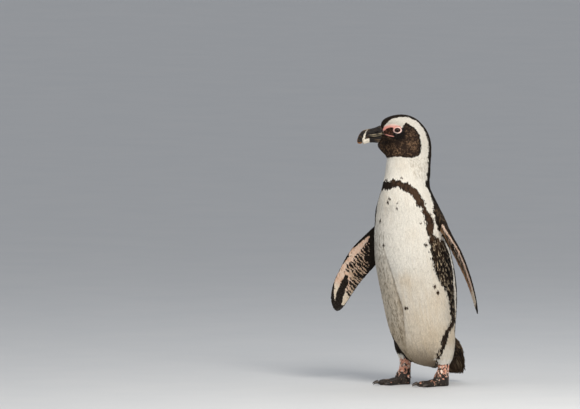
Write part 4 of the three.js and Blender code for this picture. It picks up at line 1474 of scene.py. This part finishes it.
def colour_coat(mesh, shape, zone, seed, patch):
    """Gives each feather one colour from its place, with painted shade darker towards its root, and writes
    its two maps.
    """
    template = read(shape.data.vertices, "co", 3)
    per = len(template)
    points = read(mesh.vertices, "co", 3).reshape(-1, per, 3)
    is_feather = per == 8
    if is_feather:
        root, seat = points[:, 0], points[:, 0] * 0.4 + points[:, 7] * 0.6
    else:
        root = seat = points[:, :6].mean(1)
    rng = np.random.default_rng(seed)
    luck = rng.random(len(root))
    tree, part_of, normal_of = SKIN_TREE["tree"], SKIN_TREE["part"], SKIN_TREE["normal"]
    found = [tree.find_nearest(Vector(p))[2] for p in root]
    part, facing = part_of[found], normal_of[found]
    colours = markings(seat, part, facing, luck)
    tone = 1 + (rng.random(len(root)) - 0.5)[:, None] * 0.16
    colours = np.clip(colours * tone, 0, 1)
    along = template[:, 1] if is_feather else np.full(per, 0.7)
    # Painted shade: each feather darker towards its root, where the feathers over it shade it; scutes take
    # one middle value.
    rows = colours[:, None, :] * (0.80 + 0.22 * along)[None, :, None]
    if is_feather:
        # Dark feathers are worn paler at their tips.
        worn = ((colours.mean(1) < 0.12) * (0.25 + 0.75 * luck))[:, None, None] * (along > 0.9)[None, :, None]
        rows = rows * (1 - worn * WORN_SHARE) + np.array(WORN_TIP) * worn * WORN_SHARE
    put(mesh, "colour", "FLOAT_COLOR", np.clip(rows, 0, 1).reshape(-1, 3))
    corner = np.empty(len(mesh.loops), np.int32)
    mesh.loops.foreach_get("vertex_index", corner)
    local = np.stack([template[:, 0], template[:, 1] - (0.5 if is_feather else 0)], 1)
    places = bake_places(root, part, zone)[:, None, :] * (1 - patch) + patch / 2 + local[None] * patch * 0.99
    vane = np.tile(np.stack([template[:, 0] + 0.5, template[:, 1]], 1), (len(root), 1))
    for layer, values in (("Vane", vane), ("OFBake", places.reshape(-1, 2))):
        uv = mesh.uv_layers.new(name=layer, do_init=False)
        uv.uv.foreach_set("vector", values[corner].astype(np.float32).ravel())
    mesh.uv_layers["Vane"].active_render = True


class PENGUIN_OT_coat(bpy.types.Operator):
    """Cover the skin with feathers, and legs and feet with scutes"""

    bl_idname = "penguin.coat"
    bl_label = "Coat"

    def execute(self, context):
        coat = context.scene.penguin_coat
        skin = bpy.data.objects["skin"]
        mesh = skin.data
        corners = np.array([p.vertices[:3] for p in mesh.polygons])
        points = read(mesh.vertices, "co", 3)
        part = np.empty(len(points), np.int32)
        mesh.attributes["part"].data.foreach_get("value", part)
        SKIN_TREE["tree"] = BVHTree.FromPolygons(points.tolist(), corners.tolist())
        SKIN_TREE["part"] = part[corners[:, 0]]
        SKIN_TREE["normal"] = read(mesh.polygons, "normal", 3)
        tree = coat_tree()
        feather, scute = link("feather_shape", feather_mesh()), link("scute_shape", scute_mesh())
        plumage, plates = feather_material(), scute_material()
        spacing = {"face": coat.face, "neck": coat.neck, "breast": coat.body, "back": coat.body,
                   "tail": coat.tail, "flipper": coat.flipper, "thigh": coat.thigh, "leg": coat.scute}
        for zone, name in enumerate(ZONES):
            region = name.split("_")[0]
            plated = region == "leg"
            coat_piece(f"scutes_{name}" if plated else f"coat_{name}", skin, tree, zone,
                       scute if plated else feather, spacing[region], plates if plated else plumage,
                       100 + zone)
        for shape in (feather, scute):
            bpy.data.objects.remove(shape)
        return {"FINISHED"}


# ---- Bill ----

NOSTRIL = np.array([(43.5, -4.6), (49.5, -6.0)])
PLATE_EDGE = rounded([(36, -3), (44, -4.4), (52, -6.4), (60, -8.2), (67, -10.4), (72, -13.5)], 3,
                     closed=False)
HOOK_EDGE = rounded([(66.5, 2), (68.2, -5), (68.4, -10), (68.5, -15), (70, -20)], 3, closed=False)
LOWER_PLATE = rounded([(59.5, -16), (58.5, -22), (60, -26), (61, -32)], 3, closed=False)
RAMUS = np.array([(34, -24), (50, -23.5), (58, -23)])
GROWTH_BARS = (55.5, 59.5, 63)
# Painted highlights: pale lines along the upper bill's cutting edge and just above it.
GLINT_SEAMS = ((((27, -9), (40, -11.8), (51, -13.4), (64, -13.6)), 1.0),
         (((33, -6.5), (45, -9.2), (58, -11), (67, -11.5)), 0.5))  # each a line and its half width
BILL_VOXEL = 0.42
CLAW_VOXEL = 0.38
HORN_STREAK = (0.115, 0.066, 0.034)
SEAM_GLINT = (0.36, 0.30, 0.20)
RIDGE_HIGHLIGHT = (0.28, 0.19, 0.10)
HORN_TIP = (0.10, 0.066, 0.038)
HORN_BASE = (0.30, 0.20, 0.12)
NOSTRIL_SHADE = (0.004, 0.003, 0.003)
CLAW_DARK = (0.020, 0.017, 0.015)
CLAW_WORN = (0.13, 0.09, 0.06)


def bill_relief(ahead, up, left, upper):
    """Grooves, ridges and grain of the bill in millimetres along the normal."""
    here = np.stack([ahead, up, left], 1)
    rise = noise(here, (9, 1.3, 1.3), 81) * 0.16 + noise(here, (3.2, 0.8, 0.8), 82) * 0.07
    if upper:
        rise -= 0.75 * bell(near_line(ahead, up, PLATE_EDGE)[0], 0.75)
        rise -= 0.5 * bell(near_line(ahead, up, HOOK_EDGE)[0], 0.8) * smoothstep(-21, -17, up)
        slit, _ = near_line(ahead, up, NOSTRIL)
        rise -= 1.6 * smoothstep(0.95, 0.3, slit) + 0.35 * smoothstep(3.0, 1.0, slit)
        rise += 0.5 * smoothstep(2.0, 0.2, np.abs(left)) * smoothstep(-9, -2, up)
        for bar in GROWTH_BARS:
            rise += 0.16 * bell(ahead - bar - up * 0.25, 0.8) * smoothstep(-16, -10, up)
    else:
        rise -= 0.45 * bell(near_line(ahead, up, LOWER_PLATE)[0], 0.7)
        rise -= 0.45 * bell(near_line(ahead, up, RAMUS)[0], 1.2)
    return rise


def bill_colours(ahead, up, left, upper, tone):
    """Black horn with brown streaks, a pale bar and a horn-coloured hook."""
    here = np.stack([ahead, up, left], 1)
    streak = noise(here, (11, 1.5, 1.5), 83) * 0.7 + noise(here, (5, 0.8, 0.8), 84) * 0.5
    colours = between(tone.bill, HORN_STREAK, np.clip(streak * 1.2 - 0.30, 0, 0.65))
    wobble = noise(here, (4, 2, 2), 85) * 1.1
    if upper:
        # Painted highlights along the seams.
        for track, width in GLINT_SEAMS:
            far, run = near_line(ahead, up, rounded(track, 3, closed=False))
            glint = smoothstep(width + 0.7, width - 0.4, far + wobble * 0.35) * smoothstep(1.0, 0.7, run)
            colours = paint(colours, SEAM_GLINT, glint * np.clip(0.55 + streak * 0.8, 0, 0.9))
        centre = np.interp(up, (-22, -16, -10, -5, 0), (74.6, 73.6, 72.0, 70, 66.5))
        width = np.interp(up, (-22, -14, -8, -3, 1), (2.9, 2.1, 1.4, 1.0, 0.8))
        bar = smoothstep(width + 0.6, width - 0.6, np.abs(ahead - centre + wobble * 0.8))
        bar *= smoothstep(3, 0.5, up) * (0.55 + 0.45 * smoothstep(-4, -12, up))
        colours = paint(colours, tone.band, bar)
        # Painted highlight: a brown sheen along the top of the ridge towards the tip.
        ridge = smoothstep(3.2, 1.2, np.abs(left)) * window(ahead, (58, 64), (80, 72))
        colours = paint(colours, RIDGE_HIGHLIGHT, ridge * smoothstep(-8, -3, up) * 0.5)
        tip = smoothstep(74, 79, ahead) * smoothstep(-13, -18, up)
        colours = paint(colours, HORN_TIP, tip * np.clip(0.15 + streak, 0, 0.8))
        hook = smoothstep(74, 77, ahead) * smoothstep(-27.0, -28.6, up + wobble * 0.5)
        colours = paint(colours, tone.horn, hook)
        front = smoothstep(1.9, 0.6, np.abs(left)) * smoothstep(73, 76, ahead) * smoothstep(-3, -9, up)
        colours = paint(colours, tone.horn, front * 0.6)
        # Painted shade inside the nostril's slit.
        colours = paint(colours, NOSTRIL_SHADE, smoothstep(1.1, 0.5, near_line(ahead, up, NOSTRIL)[0]))
    else:
        colours = paint(colours, tone.band, smoothstep(60.5, 62.5, ahead + wobble))
        colours = paint(colours, tone.horn, smoothstep(73, 76.5, ahead) * smoothstep(-28, -31, up) * 0.8)
        base = smoothstep(52, 40, ahead) * smoothstep(-19, -25, up) * np.clip(streak + 0.5, 0, 1)
        colours = paint(colours, HORN_BASE, base * 0.6)
    return np.clip(colours, 0, 1)


class PENGUIN_OT_bill(bpy.types.Operator):
    """Build both halves of the bill, with their plates, grooves and nostrils"""

    bl_idname = "penguin.bill"
    bl_label = "Bill"

    def execute(self, context):
        material = horn_material("Bill", 0.44, 0.05, 0.18)
        tone = context.scene.penguin_colours
        for name in ("bill_upper", "bill_lower"):
            piece = remeshed(joined_solids((name,))[0], f"{name}_horn", BILL_VOXEL * MM)
            mesh = piece.data
            edges = edges_of(mesh)
            points = smoothed(read(mesh.vertices, "co", 3), edges, 9)
            set_points(mesh, points)
            normals = unit(smoothed(normals_of(mesh), edges, 2))
            ahead, up, left = head_place(points)
            upper = name == "bill_upper"
            bite = normals[:, 2] * (-1 if upper else 1)
            rise = bill_relief(ahead, up, left, upper) * smoothstep(0.8, 0.3, bite)
            rise += 0.40 * smoothstep(0.5, 0.9, bite) - 2.4 * smoothstep(38.5, 31.5, ahead) ** 1.5
            rise += (0.4 if upper else 1.0) * smoothstep(68, 75, ahead) * smoothstep(-18, -22, up)
            set_points(mesh, points + normals * rise[:, None] * MM)
            put(mesh, "colour", "FLOAT_COLOR", bill_colours(ahead, up, left, upper, tone))
            put(mesh, "place", "FLOAT_VECTOR", np.stack([ahead, up, left], 1))
            finish_piece(piece, material, (name,))
        return {"FINISHED"}


# ---- Eyes and claws ----


EYE_ROWS, EYE_TURNS = 56, 72
LIMB = np.array((0.012, 0.007, 0.006))


def eye_mesh(side, tone):
    """An eyeball turned outwards: pupil, streaked iris, dark limb, and a cornea a little proud of it."""
    out = LEFTWARDS * (1 if side == "left" else -1)
    up = np.array((0, 0, 1.0))
    ahead = np.cross(out, up)
    points, colours, faces = [], [], []
    for i in range(EYE_ROWS + 1):
        polar = math.pi * (i / EYE_ROWS) ** 1.35
        degrees = math.degrees(polar)
        far = EYE_RADIUS - 0.1 * MM + 0.35 * MM * math.exp(-((degrees / 26) ** 2))
        limb = smoothstep(29, 33, degrees)
        for j in range(EYE_TURNS):
            spin = 2 * math.pi * j / EYE_TURNS
            way = math.cos(polar) * out + math.sin(polar) * (math.cos(spin) * ahead + math.sin(spin) * up)
            points.append(tuple(EYE[side] + way * far))
            ray = 0.75 + 0.35 * math.sin(spin * 23 + 2 * math.sin(spin * 7)) * math.sin(spin * 41)
            iris = np.array(tone.iris) * ray * (1.6 - 0.6 * smoothstep(20, 28, degrees))
            colours.append(iris * smoothstep(18.5, 20, degrees) * (1 - limb) + LIMB * limb + 0.0015)
    for i in range(EYE_ROWS):
        for j in range(EYE_TURNS):
            row, below, k = i * EYE_TURNS, (i + 1) * EYE_TURNS, (j + 1) % EYE_TURNS
            faces.append((row + j, row + k, below + k, below + j))
    mesh = bpy.data.meshes.new(f"eyeball_{side}")
    mesh.from_pydata(points, [], faces)
    put(mesh, "colour", "FLOAT_COLOR", np.array(colours))
    bm = bmesh.new()
    bm.from_mesh(mesh)
    bmesh.ops.remove_doubles(bm, verts=bm.verts, dist=1e-7)
    bmesh.ops.recalc_face_normals(bm, faces=bm.faces)
    bm.to_mesh(mesh)
    bm.free()
    return mesh


class PENGUIN_OT_eyes(bpy.types.Operator):
    """Build both eyeballs"""

    bl_idname = "penguin.eyes"
    bl_label = "Eyes"

    def execute(self, context):
        material, tree, shader = surface("Eye", 0.12, coat_weight=0.28, coat_roughness=0.02,
                                         specular_ior_level=0.06)
        grainy(tree, shader, 2600.0, 0.25)
        shader.inputs["Roughness"].default_value = 0.1
        for side in SIDES:
            piece = link(f"eyeball_{side}", eye_mesh(side, context.scene.penguin_colours))
            finish_piece(piece, material, (f"eye_{side}",))
        return {"FINISHED"}


class PENGUIN_OT_claws(bpy.types.Operator):
    """Build the claws of both feet"""

    bl_idname = "penguin.claws"
    bl_label = "Claws"

    def execute(self, context):
        material = horn_material("Claw", 0.38, 0.3)
        for side in SIDES:
            nodes = [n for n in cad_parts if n.startswith(f"claw_{side}")]
            piece = remeshed(joined_solids(sorted(nodes))[0], f"claws_{side}", CLAW_VOXEL * MM)
            mesh = piece.data
            edges = edges_of(mesh)
            points = smoothed(read(mesh.vertices, "co", 3), edges, 6)
            points[:, 2] = np.maximum(points[:, 2], 0.1 * MM)
            set_points(mesh, points)
            reach = (points - ANKLE[side]) @ FOOT_HEADING / MM
            place = np.stack([reach, points[:, 2] / MM, points[:, 0] / MM], 1)
            worn = noise(place, (6, 0.9, 0.9), 91) * 0.8 + smoothstep(60, 80, reach) * 0.35
            put(mesh, "colour", "FLOAT_COLOR", between(CLAW_DARK, CLAW_WORN, np.clip(worn, 0, 1)))
            put(mesh, "place", "FLOAT_VECTOR", place)
            finish_piece(piece, material, nodes)
        return {"FINISHED"}


# ---- Stage ----

PICTURE = (580, 409)  # pixels
PIXEL = 2.2 * MM  # at the bird
FLOOR_POINT = (424.0, 385.0)  # the pixel where the floor lies under the body's own origin
ORIGIN = NECK_FOOT * (1, 1, 0) + np.array((8, 55, 0)) * MM
FLOOR_REACH = 60
FLOOR_TONES = ((0.60, 0.62, 0.64, 1), (0.66, 0.67, 0.68, 1))
SKY = (0.94, 0.96, 1.0, 1)
BREAST = Vector((0, 0, 0.35))
# Lights: share of the key's strength, width, azimuth and elevation in degrees, distance and colour.
LIGHTS = {"key": (1, 0.9, 57, 41, 2.4, (1.0, 0.95, 0.87)),
          "soft": (0.16, 1.8, -20, 28, 2.8, (1.0, 0.98, 0.94)),
          "back": (0.12, 1.2, 200, 50, 2.6, (0.92, 0.96, 1.0))}


def bearing(azimuth, elevation):
    """The direction away from the bird at these angles."""
    level = math.cos(elevation)
    return Vector((math.sin(azimuth) * level, -math.cos(azimuth) * level, math.sin(elevation)))


def area_light(name, watts, across, azimuth, elevation, far, colour):
    """A large soft light that looks at the bird's breast."""
    light = bpy.data.lights.new(name, "AREA")
    light.energy, light.size, light.color = watts, across, colour
    way = bearing(math.radians(azimuth), math.radians(elevation))
    lamp = link(name, light)
    lamp.location = BREAST + way * far
    lamp.rotation_euler = way.to_track_quat("Z", "Y").to_euler()


class PENGUIN_OT_stage(bpy.types.Operator):
    """Set up the floor, the light and the camera"""

    bl_idname = "penguin.stage"
    bl_label = "Stage"

    def execute(self, context):
        stage = context.scene.penguin_stage
        mesh = bpy.data.meshes.new("floor")
        corners = [(x * FLOOR_REACH, y * FLOOR_REACH, 0) for x, y in ((-1, -1), (1, -1), (1, 1), (-1, 1))]
        mesh.from_pydata(corners, [], [(0, 1, 2, 3)])
        floor = link("floor", mesh)
        material, tree, shader = surface("Floor", 0.75)
        grain = grain_of(tree, add(tree, "ShaderNodeTexCoord").outputs["Object"], 6.0, 5.0)
        tone = add(tree, "ShaderNodeMix", {"Factor": grain, 6: FLOOR_TONES[0], 7: FLOOR_TONES[1]},
                   data_type="RGBA")
        tree.links.new(tone.outputs[2], shader.inputs["Base Color"])
        mesh.materials.append(material)
        world = bpy.data.worlds.new("Sky")
        world.use_nodes = True
        sky = world.node_tree.nodes["Background"]
        sky.inputs["Color"].default_value = SKY
        sky.inputs["Strength"].default_value = stage.fill
        context.scene.world = world
        for name, (share, *rest) in LIGHTS.items():
            area_light(name, stage.key * share, *rest)
        context.scene.view_settings.view_transform = "Standard"
        right = Vector((math.cos(stage.azimuth), math.sin(stage.azimuth), 0))
        back = bearing(stage.azimuth, stage.elevation)
        aside, rise = PICTURE[0] / 2 - FLOOR_POINT[0], FLOOR_POINT[1] - PICTURE[1] / 2
        target = Vector(ORIGIN) + right * aside * PIXEL + back.cross(right) * rise * PIXEL
        data = bpy.data.cameras.new("camera")
        data.lens = stage.lens
        data.clip_end = 200
        far = PICTURE[0] * PIXEL * stage.lens / data.sensor_width
        camera = link("camera", data)
        camera.location = target + back * far
        camera.rotation_euler = back.to_track_quat("Z", "Y").to_euler()
        context.scene.camera = camera
        return {"FINISHED"}


# ---- Add-on ----


class PENGUIN_PT_panel(bpy.types.Panel):
    """The penguin's steps and settings"""

    bl_label = "Penguin"
    bl_idname = "PENGUIN_PT_panel"
    bl_space_type = "VIEW_3D"
    bl_region_type = "UI"
    bl_category = "Penguin"

    def draw(self, context):
        for label, group in GROUPS.items():
            box = self.layout.box()
            box.label(text=label.title())
            settings = getattr(context.scene, f"penguin_{label}")
            for key in group.__annotations__:
                box.prop(settings, key)
        for step in STEPS:
            self.layout.operator(step.bl_idname)


GROUPS = {"skin": PenguinSkin, "coat": PenguinCoat, "colours": PenguinColours, "stage": PenguinStage}
STEPS = (PENGUIN_OT_skin, PENGUIN_OT_coat, PENGUIN_OT_bill, PENGUIN_OT_eyes, PENGUIN_OT_claws,
         PENGUIN_OT_stage)
CLASSES = (*GROUPS.values(), *STEPS, PENGUIN_PT_panel)


def register():
    for item in CLASSES:
        bpy.utils.register_class(item)
    for label, group in GROUPS.items():
        setattr(bpy.types.Scene, f"penguin_{label}", PointerProperty(type=group))


def unregister():
    for label in GROUPS:
        delattr(bpy.types.Scene, f"penguin_{label}")
    for item in reversed(CLASSES):
        bpy.utils.unregister_class(item)


def main():
    """Builds everything in order."""
    register()
    bpy.ops.penguin.skin()
    bpy.ops.penguin.coat()
    bpy.ops.penguin.bill()
    bpy.ops.penguin.eyes()
    bpy.ops.penguin.claws()
    bpy.ops.penguin.stage()


if __name__ == "__main__":
    main()
